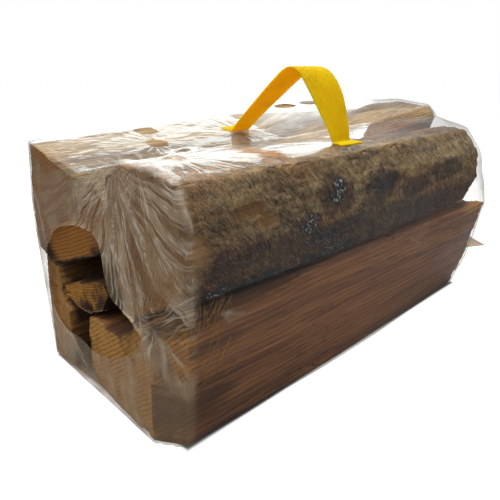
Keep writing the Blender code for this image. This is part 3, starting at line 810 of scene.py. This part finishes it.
middleStick = plainLog | {
    "stations": [
        (28.0, [(136, 56), (119, 57), (118, 38), (120, 16), (120, 4), (134, 2), (150, 3),
                (145, 16), (138, 30)]),
        (200.0, [(135, 57), (116, 58), (115, 39), (118, 16), (118, 4), (132, 2), (148, 3),
                 (142, 16), (135, 30)]),
        (390.0, [(133, 57), (113, 59), (112, 40), (114, 16), (114, 4), (130, 2), (145, 3),
                 (139, 16), (132, 30)]),
    ],
    "endSlopes": ((0.04, 0.02), (0.03, -0.02)),
    "pith": (160, 30), "ringWidth": 2.0, "seed": 67, "crowding": 1.5, "rounding": 2, "proud": 0.3,
    "ledge": 1.2, "roll": 0.5, "lump": 1.0, "deepest": 1.9, "rimWear": 0.5, "endRough": 0.5,
    "fineness": (110, 110, 12),
    "sidePale": (0.16, 0.06, 0.025), "sideDark": (0.07, 0.025, 0.01),
    "endPale": (0.20, 0.06, 0.02), "endDark": (0.09, 0.025, 0.008), "stain": (0.05, 0.015, 0.008),
    "barkWarm": (0.06, 0.03, 0.015), "barkOlive": (0.05, 0.03, 0.015), "barkDark": (0.02, 0.012, 0.01),
    "barkDull": (0.03, 0.015, 0.01),
}
makeLog("middle_stick", "stick_lower_middle", middleStick)


# Film.
film = {
    "spans": (-20.0, 222.0, 310.0, 440.0),  # where the skins meet along X
    "valleyY": 128.0, "valleyZ": 193.0,  # the dip between the upper logs
    "clearance": 1.15, "softness": 0.35, "lowest": 0.45,
    "axis": (110.0, 100.0), "inset": 45.0,
    "columns": 330, "nearRows": 40, "sideRows": 196, "farRows": 22,
    "firstX": 0.0, "lastX": 408.0, "standOff": 3.0,  # the ends' flat covers stand this far out
    "nearHole": [(129, 131), (150, 124), (166, 110), (173, 93), (172, 84), (173, 68), (169, 48), (154, 40),
                 (128, 40), (104, 39), (80, 44), (58, 51), (38, 62), (26, 77), (34, 87), (52, 90),
                 (66, 95), (73, 107), (78, 123), (90, 132), (109, 134)],
    "farHole": [(104, 136), (134, 128), (155, 108), (160, 84), (148, 60), (118, 45), (84, 46),
                (52, 58), (36, 80), (38, 106), (62, 128)],
    "vents": [(92.0, 143.0, 10.0), (104.0, 176.0, 11.0), (290.0, 168.0, 12.0), (324.0, 160.0, 12.0)],
    "earX": 413.0, "earRoot": [(-4, 43), (0, 64)], "earTip": (446, -19, 42),
    # Gathers: start, end, how far the folds spread at each, how many, width and height.
    "gathers": [
        ((-2, 60, 176), (-2, -6, 112), 7, 16, 7, 2.0, 1.5),
        ((-2, 56, 178), (-2, 12, 112), 8, 22, 9, 1.1, 0.8),
        ((-4, 62, 166), (-6, 52, 112), 8, 14, 12, 0.9, 0.6),
        ((-5, 70, 138), (-11, 24, 84), 9, 10, 12, 0.9, 0.7),
        ((-11, 10, 92), (-3, 22, 142), 4, 14, 9, 0.9, 0.8),
        ((-11, 10, 90), (-8, 6, 20), 3, 7, 7, 1.0, 1.0),
        ((-11, 12, 88), (-10, 44, 56), 4, 12, 6, 0.8, 0.6),
        ((-3, 172, 70), (-4, 160, 20), 6, 12, 8, 1.2, 0.8),
        ((-4, 150, 36), (-6, 96, 12), 6, 10, 7, 1.1, 0.8),
        ((-2, 120, 172), (-3, 112, 138), 10, 12, 7, 0.9, 0.5),
        ((-2, 185, 150), (-3, 172, 96), 10, 9, 7, 1.1, 0.6),
        ((0, 2, 182), (10, -8, 140), 6, 14, 6, 1.1, 0.7),
        ((400, -4, 168), (406, -12, 110), 8, 10, 8, 1.6, 0.9),
        ((404, 10, 60), (414, -16, 88), 5, 14, 8, 1.4, 0.9),
        ((195, 20, 184), (130, 60, 184), 3, 26, 10, 1.8, 0.7),
        ((195, 20, 184), (270, 60, 186), 3, 26, 9, 1.8, 0.7),
        ((195, 142, 184), (110, 150, 182), 3, 30, 9, 2.0, 0.7),
        ((195, 142, 184), (290, 150, 196), 3, 30, 9, 2.0, 0.7),
        ((30, 46, 188), (130, 110, 182), 5, 34, 12, 1.8, 0.7),
        ((28, 44, 188), (4, 90, 182), 5, 20, 8, 1.4, 0.6),
        ((260, -12, 100), (300, -12, 60), 16, 20, 7, 1.2, 0.35),
        ((20, -8, 96), (90, -9, 60), 10, 30, 7, 1.0, 0.3),
    ],
    # Fans of fine wrinkles: middle, the two axes they fan in, where, count, reach and line width.
    "fans": [
        ((0, 66, 186), (1, 2), "strand", 15.0, 190, 0.050),
        ((0, 40, 190), (1, 2), "strand", 12.0, 120, 0.040),
        ((0, -12, 104), (1, 2), "near", 7.0, 80, 0.030), ((0, 14, 90), (1, 2), "near", 7.0, 70, 0.030),
        ((29, 45, 0), (0, 1), "top", 5.0, 170, 0.020), ((195, 22, 0), (0, 1), "top", 5.0, 110, 0.020),
        ((195, 142, 0), (0, 1), "top", 5.0, 110, 0.020), ((92, 143, 0), (0, 1), "top", 4.0, 70, 0.020),
    ],
    # Lumps of wood that lift the film: place, reach along and across, height.
    "lumps": [((33, 44), 9, 8, 3.6), ((97, 112), 12, 7, 5.0), ((4, 61), 10, 10, 2.2)],
    "nearMilk": (0.40, 0.27, 0.155), "nearMilkPale": (0.56, 0.42, 0.26), "lowMilk": (0.76, 0.56, 0.34),
    "topMilkAndGlare": (0.84, 0.84, 0.80), "creaseWhiteAndGlare": (0.88, 0.78, 0.64),
    "clear": (0.98, 0.975, 0.965), "earClear": (0.42, 0.30, 0.22),
}


def curveThrough(outline, count):
    # Evenly spaced points on a smooth closed curve through the outline: a Catmull-Rom curve.
    points = np.array(outline, float)
    before, after, beyond = (np.roll(points, step, axis=0) for step in (1, -1, -2))
    t = (np.arange(12) / 12)[:, None, None]
    curve = 0.5 * (2 * points + (after - before) * t
                   + (2 * before - 5 * points + 4 * after - beyond) * t**2
                   + (3 * points - before - 3 * after + beyond) * t**3)
    return evenly(curve.transpose(1, 0, 2).reshape(-1, 2), count)


def evenly(loop, count):
    # The closed loop resampled to evenly spaced points.
    closed = np.concatenate([loop, loop[:1]])
    walked = np.concatenate([[0], np.cumsum(np.linalg.norm(np.diff(closed, axis=0), axis=1))])
    at = np.linspace(0, walked[-1], count, endpoint=False)
    return np.stack([np.interp(at, walked, part) for part in closed.T], -1)


def skinPlanes(corners, clearance):
    # Outward planes of the tightest convex skin round the corners, pushed out by the clearance.
    edit = bmesh.new()
    for corner in corners:
        edit.verts.new(corner)
    bmesh.ops.convex_hull(edit, input=edit.verts)
    a, b, c = (np.array([face.verts[i].co[:] for face in edit.faces]) for i in range(3))
    edit.free()
    normal = np.cross(b - a, c - a)
    size = np.linalg.norm(normal, axis=1)
    normal, a = normal[size > 1e-3] / size[size > 1e-3, None], a[size > 1e-3]
    normal *= np.sign((normal * (a - corners.mean(0))).sum(1))[:, None]
    planes = np.unique(np.column_stack([normal, (normal * a).sum(1) + clearance]).round(3), axis=0)
    return planes[:, :3], planes[:, 3]


def filmSkins(clearance):
    # Two skins for each span: the back column of logs, and all that lies below the valley's slope.
    skins = []
    for first, last in zip(film["spans"], film["spans"][1:]):
        back, low = [], []
        for log in (upperFront, upperBack, middleSlab, lowerBack, lowerFront, middleStick):
            places = [place for place, _ in log["stations"]]
            within = {min(max(x, places[0]), places[-1]) for x in (first, last)}
            within |= {place for place in places if first <= place <= last}
            xs = np.array(sorted(within))
            outline = outlinesAt(log, xs)
            xs = leaned(log, xs, outline.mean(1, keepdims=True), outline)
            corners = np.concatenate([xs[..., None], outline], -1).reshape(-1, 3)
            if log in (upperBack, lowerBack, middleSlab):
                back.append(corners)
            if log is upperBack:
                corners = corners[(corners[:, 1] < film["valleyY"]) & (corners[:, 2] < film["valleyZ"])]
            low.append(corners)
        skins += [skinPlanes(np.concatenate(group), clearance) for group in (back, low)]
    return skins


def reachOf(skins, origin, direction):
    # How far each ray goes to leave the skins: in a skin the nearest plane ahead, with its corners
    # rounded by a soft minimum, and the farthest over the skins that hold the ray's start.
    farthest = np.zeros(origin.shape[:-1])
    for normal, height in skins:
        gap = height - origin @ normal.T
        speed = direction @ normal.T
        inside = (gap > 0).all(-1)
        reach = np.where(speed > 1e-5, gap / np.maximum(speed, 1e-5), 1e4)
        nearest = reach.min(-1)
        soft = -film["softness"] * np.log(np.exp((nearest[..., None] - reach) / film["softness"]).sum(-1))
        farthest = np.maximum(farthest, np.where(inside, nearest + soft, 0))
    return farthest


def filmSheet():
    # A sheet from the near opening's rim, over the near end, along the logs and over the far end.
    skins = filmSkins(film["clearance"])
    axis, inset, columns = np.array(film["axis"]), film["inset"], film["columns"]
    box = np.array([(-8, 2), (197, 2), (197, 190), (-8, 190)], float)
    start = evenly(np.roll(box, -1, axis=0), columns) - axis
    heading = start / np.linalg.norm(start, axis=1, keepdims=True)

    def edgeAt(x):
        origin = np.array([x, *axis]) + np.zeros((columns, 3))
        ray = np.concatenate([np.zeros((columns, 1)), heading], -1)
        return reachOf(skins, origin, ray)[:, None] * heading + axis

    def rim(hole):
        # The opening's rim, started at the same heading as the outer edge.
        loop = curveThrough(hole, columns)
        middle = (loop.min(0) + loop.max(0)) / 2
        turned = np.arctan2(*(loop - middle).T[::-1])
        wanted = math.atan2(heading[0, 1], heading[0, 0])
        loop = np.roll(loop, -int(np.argmin(np.abs(np.angle(np.exp(1j * (turned - wanted)))))), axis=0)
        after = np.arctan2(*(loop[columns // 8] - middle)[::-1])
        outer = math.atan2(heading[columns // 8, 1], heading[columns // 8, 0])
        same = np.sin(after - wanted) * math.sin(outer - wanted) > 0
        return loop if same else np.roll(loop[::-1], 1, axis=0)

    def rows(x, inner, outer, share):
        # Rows of points at X, between the inner loop and the outer one.
        x = np.broadcast_to(x, (len(share), columns, 1))
        return np.concatenate([x, inner * (1 - share) + outer * share], -1)

    first, last = film["firstX"], film["lastX"]
    nearEdge, farEdge = edgeAt(10.0), edgeAt(last - 12.0)
    q = np.linspace(0, 1, film["nearRows"])[:, None, None]
    r = np.linspace(1, 0, film["farRows"])[:, None, None]
    t = np.linspace(0, 1, film["sideRows"])
    xs = (first + 1.5) + (last - first - 3.0) * (0.78 * t + 0.22 * t**2.2)
    target = np.concatenate([
        rows(first - film["standOff"], rim(film["nearHole"]), nearEdge, q),
        rows(xs[:, None, None], nearEdge, farEdge, (xs / last)[:, None, None]),
        rows(last + film["standOff"], rim(film["farHole"]), farEdge, r)])
    # Rays start beside the axis at the ends, so that they meet the end faces squarely.
    lean = np.concatenate([1 - 0.2 * q[:, 0, 0] ** 3,
                           0.8 * smoothStep(14, 0, xs) + 0.8 * smoothStep(last - 14, last, xs),
                           1 - 0.2 * r[:, 0, 0] ** 3])[:, None, None]
    originX = np.clip(target[..., :1], first + inset, last - inset)
    origin = np.concatenate([originX, axis + (target[..., 1:] - axis) * lean], -1)
    ray = target - origin
    ray /= np.linalg.norm(ray, axis=-1, keepdims=True)
    return origin + ray * reachOf(skins, origin, ray)[..., None]


def gridNormals(grid):
    # Outward unit normals of a grid that closes across its columns.
    alongRows = np.gradient(grid, axis=0)
    alongColumns = np.roll(grid, -1, axis=1) - np.roll(grid, 1, axis=1)
    normal = np.cross(alongColumns, alongRows)
    normal /= np.maximum(np.linalg.norm(normal, axis=-1, keepdims=True), 1e-9)
    middle = np.array([203.0, *film["axis"]])
    return normal * np.sign((normal * (grid - middle)).sum())


def foldsOf(grid):
    # Folds: ridges along slightly wandering lines from each gather's start to its end.
    rng = np.random.default_rng(5)
    height = np.zeros(grid.shape[:-1])
    crease = np.zeros(grid.shape[:-1])
    for start, end, spreadStart, spreadEnd, count, width, rise in film["gathers"]:
        start, end = np.array(start, float), np.array(end, float)
        middle = (start + end) / 2
        near = np.linalg.norm(grid - middle, axis=-1) < np.linalg.norm(end - start) * 0.62 + spreadEnd
        places = grid[near]
        wander = np.stack([layered(places / 14.0, 90 + axis, 2) for axis in range(3)], -1) * 2.2
        found = np.zeros(len(places))
        for _ in range(count):
            a = start + rng.normal(0, 1, 3) * spreadStart * 0.4
            b = end + rng.normal(0, 1, 3) * spreadEnd * 0.4
            reach = rng.uniform(0.55, 1.0)
            wide = width * rng.uniform(0.6, 1.4)
            line = b - a
            along = np.clip(((places + wander - a) @ line) / (line @ line), 0, 1)
            away = np.linalg.norm(places + wander - a - along[:, None] * line, axis=-1)
            taper = smoothStep(0.0, 0.12, along) * smoothStep(reach, reach * 0.6, along)
            ridge = np.exp(-((away / wide) ** 2)) * taper * rng.uniform(0.5, 1.0)
            found = np.maximum(found, ridge)
        height[near] = np.maximum(height[near], found * rise)
        crease[near] = np.maximum(crease[near], found)
    return height, crease


def openVents(grid):
    # The grid's points near each vent's rim are drawn onto it, and the faces inside it are left out.
    rows, columns = grid.shape[:2]
    keep = np.ones((rows - 1, columns), bool)
    onTop = grid[..., 2] > 150
    for x, y, radius in film["vents"]:
        radii = np.array([radius, radius * 0.92])
        away = (grid[..., :2] - [x, y]) / radii
        distance = np.linalg.norm(away, axis=-1)
        close = onTop & (np.abs(distance - 1) < 0.09)
        snapped = np.array([x, y]) + away / np.maximum(distance, 1e-6)[..., None] * radii
        grid[..., :2] = np.where(close[..., None], snapped, grid[..., :2])
        inner = onTop & (np.where(close, 1.0, distance) < 0.99)
        inner = inner | np.roll(inner, -1, axis=1)
        keep &= ~(inner[:-1] | inner[1:])
    return ringFaces(rows, columns).reshape(rows - 1, columns, 4)[keep]


def filmEar():
    # A flap from the far end's front corner, narrowing to its tip with a soft curl.
    s, w = np.linspace(0, 1, 16)[:, None], np.linspace(0, 1, 8)[None]
    low, high = (np.array([film["earX"], *place]) for place in film["earRoot"])
    tip = np.array(film["earTip"], float)
    sides = [low * (1 - s) + tip * s, high * (1 - s) + (tip + [0, 0, 0.8]) * s]
    ear = sides[0][:, None] * (1 - w[..., None]) + sides[1][:, None] * w[..., None]
    ear[..., 1] += 1.6 * np.sin(math.pi * w) * np.sin(3 * s)
    return ear


def makeFilm():
    grid = filmSheet()
    columns = grid.shape[1]
    normal = gridNormals(grid)
    folds, crease = foldsOf(grid)
    slack = 0.32 * layered(grid / [60.0, 34.0, 34.0], 200, 2)
    slack += 0.12 * layered(grid / [16.0, 9.0, 9.0], 210, 2)
    top = smoothStep(0.6, 0.9, normal[..., 2])
    streaks = layered(grid[..., :2] @ np.array([[0.94, -0.34], [0.34, 0.94]]) / [70.0, 9.0], 220, 2)
    rise = 0.30 + slack * (0.6 + 0.8 * top) + 0.26 * streaks * top + folds
    for (x, y), reachAlong, reachAcross, height in film["lumps"]:
        away = ((grid[..., 0] - x) / reachAlong) ** 2 + ((grid[..., 1] - y) / reachAcross) ** 2
        rise = rise + height * np.exp(-away) * top
    under = smoothStep(-0.7, -0.95, normal[..., 2])
    rise = rise * (1 - under) + 0.1 * under
    grid = grid + normal * rise[..., None]
    # The free rims curl outwards a little.
    for rim, step in ((0, 1), (-1, -1)):
        for depth, lift in enumerate((1.5, 0.8, 0.3)):
            row = rim + step * depth
            wave = 1 + noise(across(np.arange(columns) / 9.0, 0.0), 230)
            grid[row] += normal[row] * (lift * wave)[:, None]
    grid[..., 2] = np.maximum(grid[..., 2], film["lowest"])
    quads = openVents(grid)
    x, y, z = grid[..., 0], grid[..., 1], grid[..., 2]
    near = smoothStep(9.0, 0.0, x)
    strand = near * (0.25 + 0.75 * smoothStep(140, 95, y) * smoothStep(35, 85, z))
    far = smoothStep(402.0, 409.0, x)
    farTop = top * smoothStep(190.0, 300.0, x) * smoothStep(85.0, 115.0, y)
    # The veil is thin where the front log's splintered corner shows through.
    chip = np.exp(-((y + 2) / 9) ** 2) * (smoothStep(50, 60, z) * smoothStep(96, 88, z))
    haze = 0.02 + 0.52 * near**2 * (1 - 0.85 * chip) * (1 - 0.8 * top)
    # The top's haze is partly milky film and partly painted glare from the window.
    haze += 0.10 * far + 0.10 * top + 0.72 * farTop
    ear = filmEar()
    points = np.concatenate([grid.reshape(-1, 3), ear.reshape(-1, 3)])
    onSheet = {"crease": crease, "haze": haze, "top": top, "near": near, "strand": strand,
               "tint": near * 0}
    onEar = {"crease": 0.3, "haze": 0.35, "tint": 1.0}
    masks = {label: np.append(values.ravel(), np.full(ear.size // 3, onEar.get(label, 0.0)))
             for label, values in onSheet.items()}
    faces = [quads, openFaces(*ear.shape[:2], first=grid.size // 3)]
    return makePiece("shrink_film", toFrame(points), faces, masks, filmMaterial(), "film_wrap")


def filmMaterial():
    # Clear film: see-through, glossy by its Fresnel, and milky where it is creased or doubled; the white
    # crease lines are also painted glare, most of all on the near end.
    material, tree, milk, output = newMaterial("shrink_film")
    place = objectPlace(tree)
    parts = partsOf(place)
    top, near, lines = (attribute(tree, label) for label in ("top", "near", "crease"))
    fine = times(stretchedNoise(place, (60, 220, 220), 4.0, 0.6), fade(top, 0.0, 1.0, 0.4, 0.10))
    broad = times(stretchedNoise(place, (25, 60, 60), 3.0, 0.6), fade(top, 0.0, 1.0, 0.8, 0.55))
    waves = plus(fine, broad)
    bands = []
    # Wrinkles fan out from where the film is gathered: in Y and Z on the near end, in X and Y on top.
    for spot, (first, second), mask, count, reach, width in film["fans"]:
        zero = toFrame(spot)
        used = useGroup(tree, wrinkles, {
            "U": minus(parts[first], zero[first]), "V": minus(parts[second], zero[second]),
            "Count": count, "Reach": reach * mm, "Width": width})
        where = attribute(tree, mask)
        lines = sums("MAXIMUM", lines, times(used["Line"], where))
        waves = plus(waves, times(used["Wave"], where))
        bands.append(used["Band"])
    bump = put(tree, "Bump", {"Height": waves, "Strength": 0.6, "Distance": 0.0016}).outputs[0]
    # On the near end the veil is thicker and thinner by bands that follow the first fan's wrinkles.
    band = blend(attribute(tree, "strand"), 0.5, fade(bands[0], 0.36, 0.62))
    warm = blendColour(band, film["nearMilk"], film["nearMilkPale"])
    warm = blendColour(fade(parts[2], 0.11, 0.02), warm, film["lowMilk"])
    # The top's milky white stands partly for painted glare.
    warm = blendColour(top, warm, film["topMilkAndGlare"])
    fill(milk, {"Base Color": blendColour(lines, warm, film["creaseWhiteAndGlare"]), "Roughness": 0.35, "Normal": bump})
    seen = blendColour(attribute(tree, "tint"), film["clear"], film["earClear"])
    clear = put(tree, "BsdfTransparent", {"Color": seen}).outputs[0]
    gloss = put(tree, "BsdfAnisotropic", {"Color": (1, 1, 1), "Roughness": 0.08, "Normal": bump})
    # The folded near edges shine less than the stretched top.
    bounce = sums("MINIMUM", put(tree, "Fresnel", {"IOR": 1.33, "Normal": bump}).outputs[0], 0.34)
    bounce = times(bounce, fade(near, 0.0, 1.0, 1.0, 0.3))
    skin = put(tree, "MixShader", {0: bounce, 1: clear, 2: gloss.outputs[0]}).outputs[0]
    cloud = fade(stretchedNoise(place, (14, 22, 22), 3.0), 0.38, 0.62, 0.4, 1.0)
    share = plus(1.0, times(near, minus(band, 0.5)))
    veil = times(times(attribute(tree, "haze"), cloud), share)
    # White lines on the creases and wrinkles: partly whitened film, partly painted glare.
    milky = sums("MINIMUM", plus(times(lines, 0.48), veil), 0.85)
    mixed = put(tree, "MixShader", {0: milky, 1: skin, 2: milk.outputs[0]}).outputs[0]
    fill(output, {"Surface": mixed})
    return material


makeFilm()


# Strap.
strap = {
    "x": 193.0, "width": 38.0, "thickness": 1.6, "gap": 0.4,
    # Middle line: Y from the front, height above the feet, twist of the edges in Y.
    "arch": [(22, 1.2, 0), (24, 7, 0), (30, 20, 2), (35, 31, 4), (41, 42, 4), (48, 52, 4),
             (55, 59, 2), (64, 62, 0), (72, 59, 0), (81, 52, 0), (93, 43, 0), (104, 34, 0),
             (124, 18, 0), (140, 4, 0), (143, 1.4, 0)],
    "pinch": 6.5, "tab": 11.0, "tabFlare": 3.0,
    "rows": 260,
    "threadPitch": 1.6, "ribPitch": 2.2, "ribCount": 11, "ribHeight": 0.10,
    "colour": (0.90, 0.50, 0.001), "shade": (0.64, 0.31, 0.0005),
}


def strapMaterial():
    # Plain-woven webbing: ribs across and threads along, with a soft sheen.
    material, tree, shader, _ = newMaterial("carry_strap")
    uv = partsOf(put(tree, "UVMap", uv_map="weave").outputs[0])
    threads, ribs = (sums("SINE", times(part, 2 * math.pi / (pitch * mm)))
                     for part, pitch in ((uv[0], strap["threadPitch"]), (uv[1], strap["ribPitch"])))
    weave = times(threads, ribs)
    place = objectPlace(tree)
    fuzz = stretchedNoise(place, (900, 900, 900), 3.0, 0.6)
    wear = stretchedNoise(place, (60, 60, 60), 3.0, 0.6)
    mix = plus(plus(times(weave, 0.25), times(fuzz, 0.8)), times(wear, 0.5))
    bump = put(tree, "Bump", {"Height": plus(weave, fuzz), "Strength": 0.5, "Distance": 0.0004})
    # Light soaks through the thin webbing, so its shaded side stays warm.
    fill(shader, {
        "Base Color": blendColour(fade(mix, 0.3, 1.0), strap["shade"], strap["colour"]),
        "Roughness": 0.75, "Specular IOR Level": 0.08, "Normal": bump.outputs[0],
        "Subsurface Weight": 0.9, "Subsurface Radius": (1.0, 0.55, 0.05), "Subsurface Scale": 0.012})
    return material


def makeStrap():
    # A flat section with rounded edges is carried along the arch, with a flared tab at each foot.
    skins = filmSkins(1.1)
    arch = np.array(strap["arch"], float)
    walked = np.concatenate([[0], np.cumsum(np.linalg.norm(np.diff(arch[:, :2], axis=0), axis=1))])
    at = np.linspace(0, walked[-1], 30)
    line = np.stack([np.interp(at, walked, column) for column in arch.T], -1)
    for _ in range(2):
        line[1:-1] = (line[:-2] + 2 * line[1:-1] + line[2:]) / 4
    tab = np.array([strap["tab"], 0, 0])
    line = np.concatenate([[line[0] - tab, line[0] - tab / 2], line, [line[-1] + tab / 2, line[-1] + tab]])
    rise = np.clip(line[:, 1] / line[:, 1].max(), 0, 1)
    width = strap["width"] / 2 - strap["pinch"] * (1 - rise)
    width[[0, -1]] += strap["tabFlare"]
    width[[1, -2]] += strap["tabFlare"] * 0.6
    feet = line[2, 0], line[-3, 0]

    def filmTop(x, y):
        origin = np.stack([x, y, np.full(len(x), 60.0)], -1)
        return reachOf(skins, origin, np.zeros((len(x), 3)) + [0, 0, 1]) + 60.0

    # The places along the strap, made finer with a smooth curve through them.
    coarse = np.arange(len(line))
    fine = np.linspace(0, len(line) - 1, strap["rows"])

    def finer(values):
        slope = np.gradient(values)
        i = np.minimum(fine.astype(int), len(line) - 2)
        t = fine - i
        return (values[i] * (1 + 2 * t) * (1 - t) ** 2 + slope[i] * t * (1 - t) ** 2
                + values[i + 1] * t * t * (3 - 2 * t) + slope[i + 1] * t * t * (t - 1))

    base = {}
    for side in (-1, 1):
        height = np.interp(line[:, 0], feet, filmTop(strap["x"] + side * width[[2, -3]], np.array(feet)))
        for i in (0, 1, -2, -1):
            height[i] = filmTop(np.array([strap["x"] + side * width[i]]), line[i:, 0][:1])[0]
        base[side] = finer(height)
    y, up, twist, wide = (finer(values) for values in (line[:, 0], line[:, 1], line[:, 2], width))
    tangent = np.stack([np.gradient(y), np.gradient(up)], -1)
    tangent /= np.linalg.norm(tangent, axis=1, keepdims=True)
    normal = np.stack([-tangent[:, 1], tangent[:, 0]], -1)
    # The section: a superellipse, flat on both faces.
    angles = np.linspace(0, 2 * math.pi, 56, endpoint=False)
    u = np.sign(np.cos(angles)) * np.abs(np.cos(angles)) ** 0.55
    v = np.sign(np.sin(angles)) * np.abs(np.sin(angles)) ** 0.25
    half = strap["thickness"] / 2
    share = (u[None] + 1) / 2
    floor = base[-1][:, None] * (1 - share) + base[1][:, None] * share
    length = np.concatenate([[0], np.cumsum(np.hypot(np.diff(y), np.diff(up)))])
    ribs = np.cos(2 * math.pi * length / strap["ribPitch"])[:, None]
    ribs = strap["ribHeight"] * ribs * np.cos(math.pi * u * strap["ribCount"])[None]
    thick = (half - strap["ribHeight"] + ribs) * v[None]
    x = strap["x"] + u[None] * wide[:, None]
    placeY = y[:, None] - u[None] * twist[:, None] + normal[:, :1] * thick
    placeZ = floor + strap["gap"] + half + up[:, None] - strap["arch"][0][1] + normal[:, 1:] * thick
    grid = np.stack([x, placeY, placeZ], -1)
    rows, columns = grid.shape[:2]
    points = np.concatenate([grid.reshape(-1, 3), grid[:1].mean(1), grid[-1:].mean(1)])
    faces = [ringFaces(rows, columns), *poleFaces(rows, columns)]
    piece = makePiece("webbing_strap", toFrame(points), faces, {}, strapMaterial(), "carry_strap", 60)
    acrossStrap = np.broadcast_to(u[None] * wide[:, None], (rows, columns)).ravel()
    alongStrap = np.broadcast_to(length[:, None], (rows, columns)).ravel()
    uvs = np.stack([np.append(acrossStrap, [0, 0]), np.append(alongStrap, [0, length[-1]])], -1) * mm
    corners = np.empty(len(piece.data.loops), np.int32)
    piece.data.loops.foreach_get("vertex_index", corners)
    layer = piece.data.uv_layers.new(name="weave")
    layer.data.foreach_set("uv", uvs[corners].astype(np.float32).ravel())
    edit = bmesh.new()
    edit.from_mesh(piece.data)
    bmesh.ops.recalc_face_normals(edit, faces=edit.faces)
    edit.to_mesh(piece.data)
    edit.free()
    return piece


makeStrap()


# Studio.
studio = {
    "camera": (-0.39856, -0.3225, 0.2416), "yaw": 0.768, "pitch": 0.330,
    "focal": 526.0 / 500.0 * 36.0,
    "floorColour": (0.28, 0.28, 0.28), "floorLift": 0.93, "background": 1.0, "ambient": 0.22,
    "shadowLength": (-0.0135, 0.2075), "shadowDepth": 0.093,  # the bundle's foot: middle and half sizes
    # Lights: place, what it faces, width and height, power, colour.
    "lights": {
        "window_behind": ((1.08, 1.32, 0.66), (0, 0, 0.15), (1.3, 0.85), 11, (0.90, 0.99, 1.0)),
        "soft_above": ((-0.1, 0.1, 1.5), (0, 0, 0.1), (1.2, 1.2), 25, (1, 1, 1)),
        "soft_left": ((-1.4, 0.2, 0.9), (0, 0, 0.1), (1.0, 1.0), 3, (1, 1, 1)),
        "soft_front": ((0.3, -1.5, 0.9), (0, 0, 0.1), (1.2, 0.8), 5, (1, 1, 1)),
    },
}


def makeFloor():
    mesh = bpy.data.meshes.new("studio_floor")
    mesh.from_pydata([(-60, -60, 0), (60, -60, 0), (60, 60, 0), (-60, 60, 0)], [], [(0, 1, 2, 3)])
    material, tree, shader, _ = newMaterial("studio_floor")
    # The floor looks paler than it lights the object, as an overexposed studio sweep does,
    # but not right below the object, which shades it.
    seen = put(tree, "LightPath").outputs["Is Camera Ray"]
    parts = partsOf(objectPlace(tree))
    (middle, halfLength), halfDepth = studio["shadowLength"], studio["shadowDepth"]
    beyond = sums("MAXIMUM", minus(sums("ABSOLUTE", minus(parts[0], middle)), halfLength),
                  minus(sums("ABSOLUTE", parts[1]), halfDepth))
    lift = times(fade(beyond, -0.004, 0.0), studio["floorLift"])
    fill(shader, {"Base Color": studio["floorColour"], "Roughness": 0.9, "Specular IOR Level": 0.1,
                  "Emission Color": (1, 1, 1), "Emission Strength": times(seen, lift)})
    mesh.materials.append(material)
    floor = bpy.data.objects.new("studio_floor", mesh)
    bpy.context.scene.collection.objects.link(floor)


def makeLight(name, place, target, size, power, colour):
    data = bpy.data.lights.new(name, "AREA")
    data.shape = "RECTANGLE"
    data.size, data.size_y = size
    data.energy = power
    data.color = colour
    light = bpy.data.objects.new(name, data)
    light.location = place
    light.rotation_euler = (Vector(target) - Vector(place)).to_track_quat("-Z", "Y").to_euler()
    bpy.context.scene.collection.objects.link(light)


def makeWorld():
    # The camera sees a bright backdrop; the object is lit by a dimmer, even surround.
    world = bpy.data.worlds.new("studio")
    bpy.context.scene.world = world
    world.use_nodes = True
    tree = world.node_tree
    tree.nodes.clear()
    seen = put(tree, "LightPath").outputs["Is Camera Ray"]
    backdrop = put(tree, "Background", {"Color": (1, 1, 1, 1), "Strength": studio["background"]})
    room = put(tree, "Background", {"Color": (0.95, 0.97, 1, 1), "Strength": studio["ambient"]})
    mixed = put(tree, "MixShader", {0: seen, 1: room.outputs[0], 2: backdrop.outputs[0]})
    end = put(tree, "OutputWorld")
    tree.links.new(mixed.outputs[0], end.inputs["Surface"])


def makeCamera():
    data = bpy.data.cameras.new("photo_view")
    data.sensor_width = 36.0
    data.lens = studio["focal"]
    data.clip_start, data.clip_end = 0.01, 50.0
    camera = bpy.data.objects.new("photo_view", data)
    camera.location = studio["camera"]
    camera.rotation_euler = (math.pi / 2 - studio["pitch"], 0.0, studio["yaw"] - math.pi / 2)
    bpy.context.scene.collection.objects.link(camera)
    bpy.context.scene.camera = camera


makeFloor()
makeWorld()
for lightName, light in studio["lights"].items():
    makeLight(lightName, *light)
makeCamera()
bpy.context.scene.view_settings.view_transform = "Standard"
print("studio made")
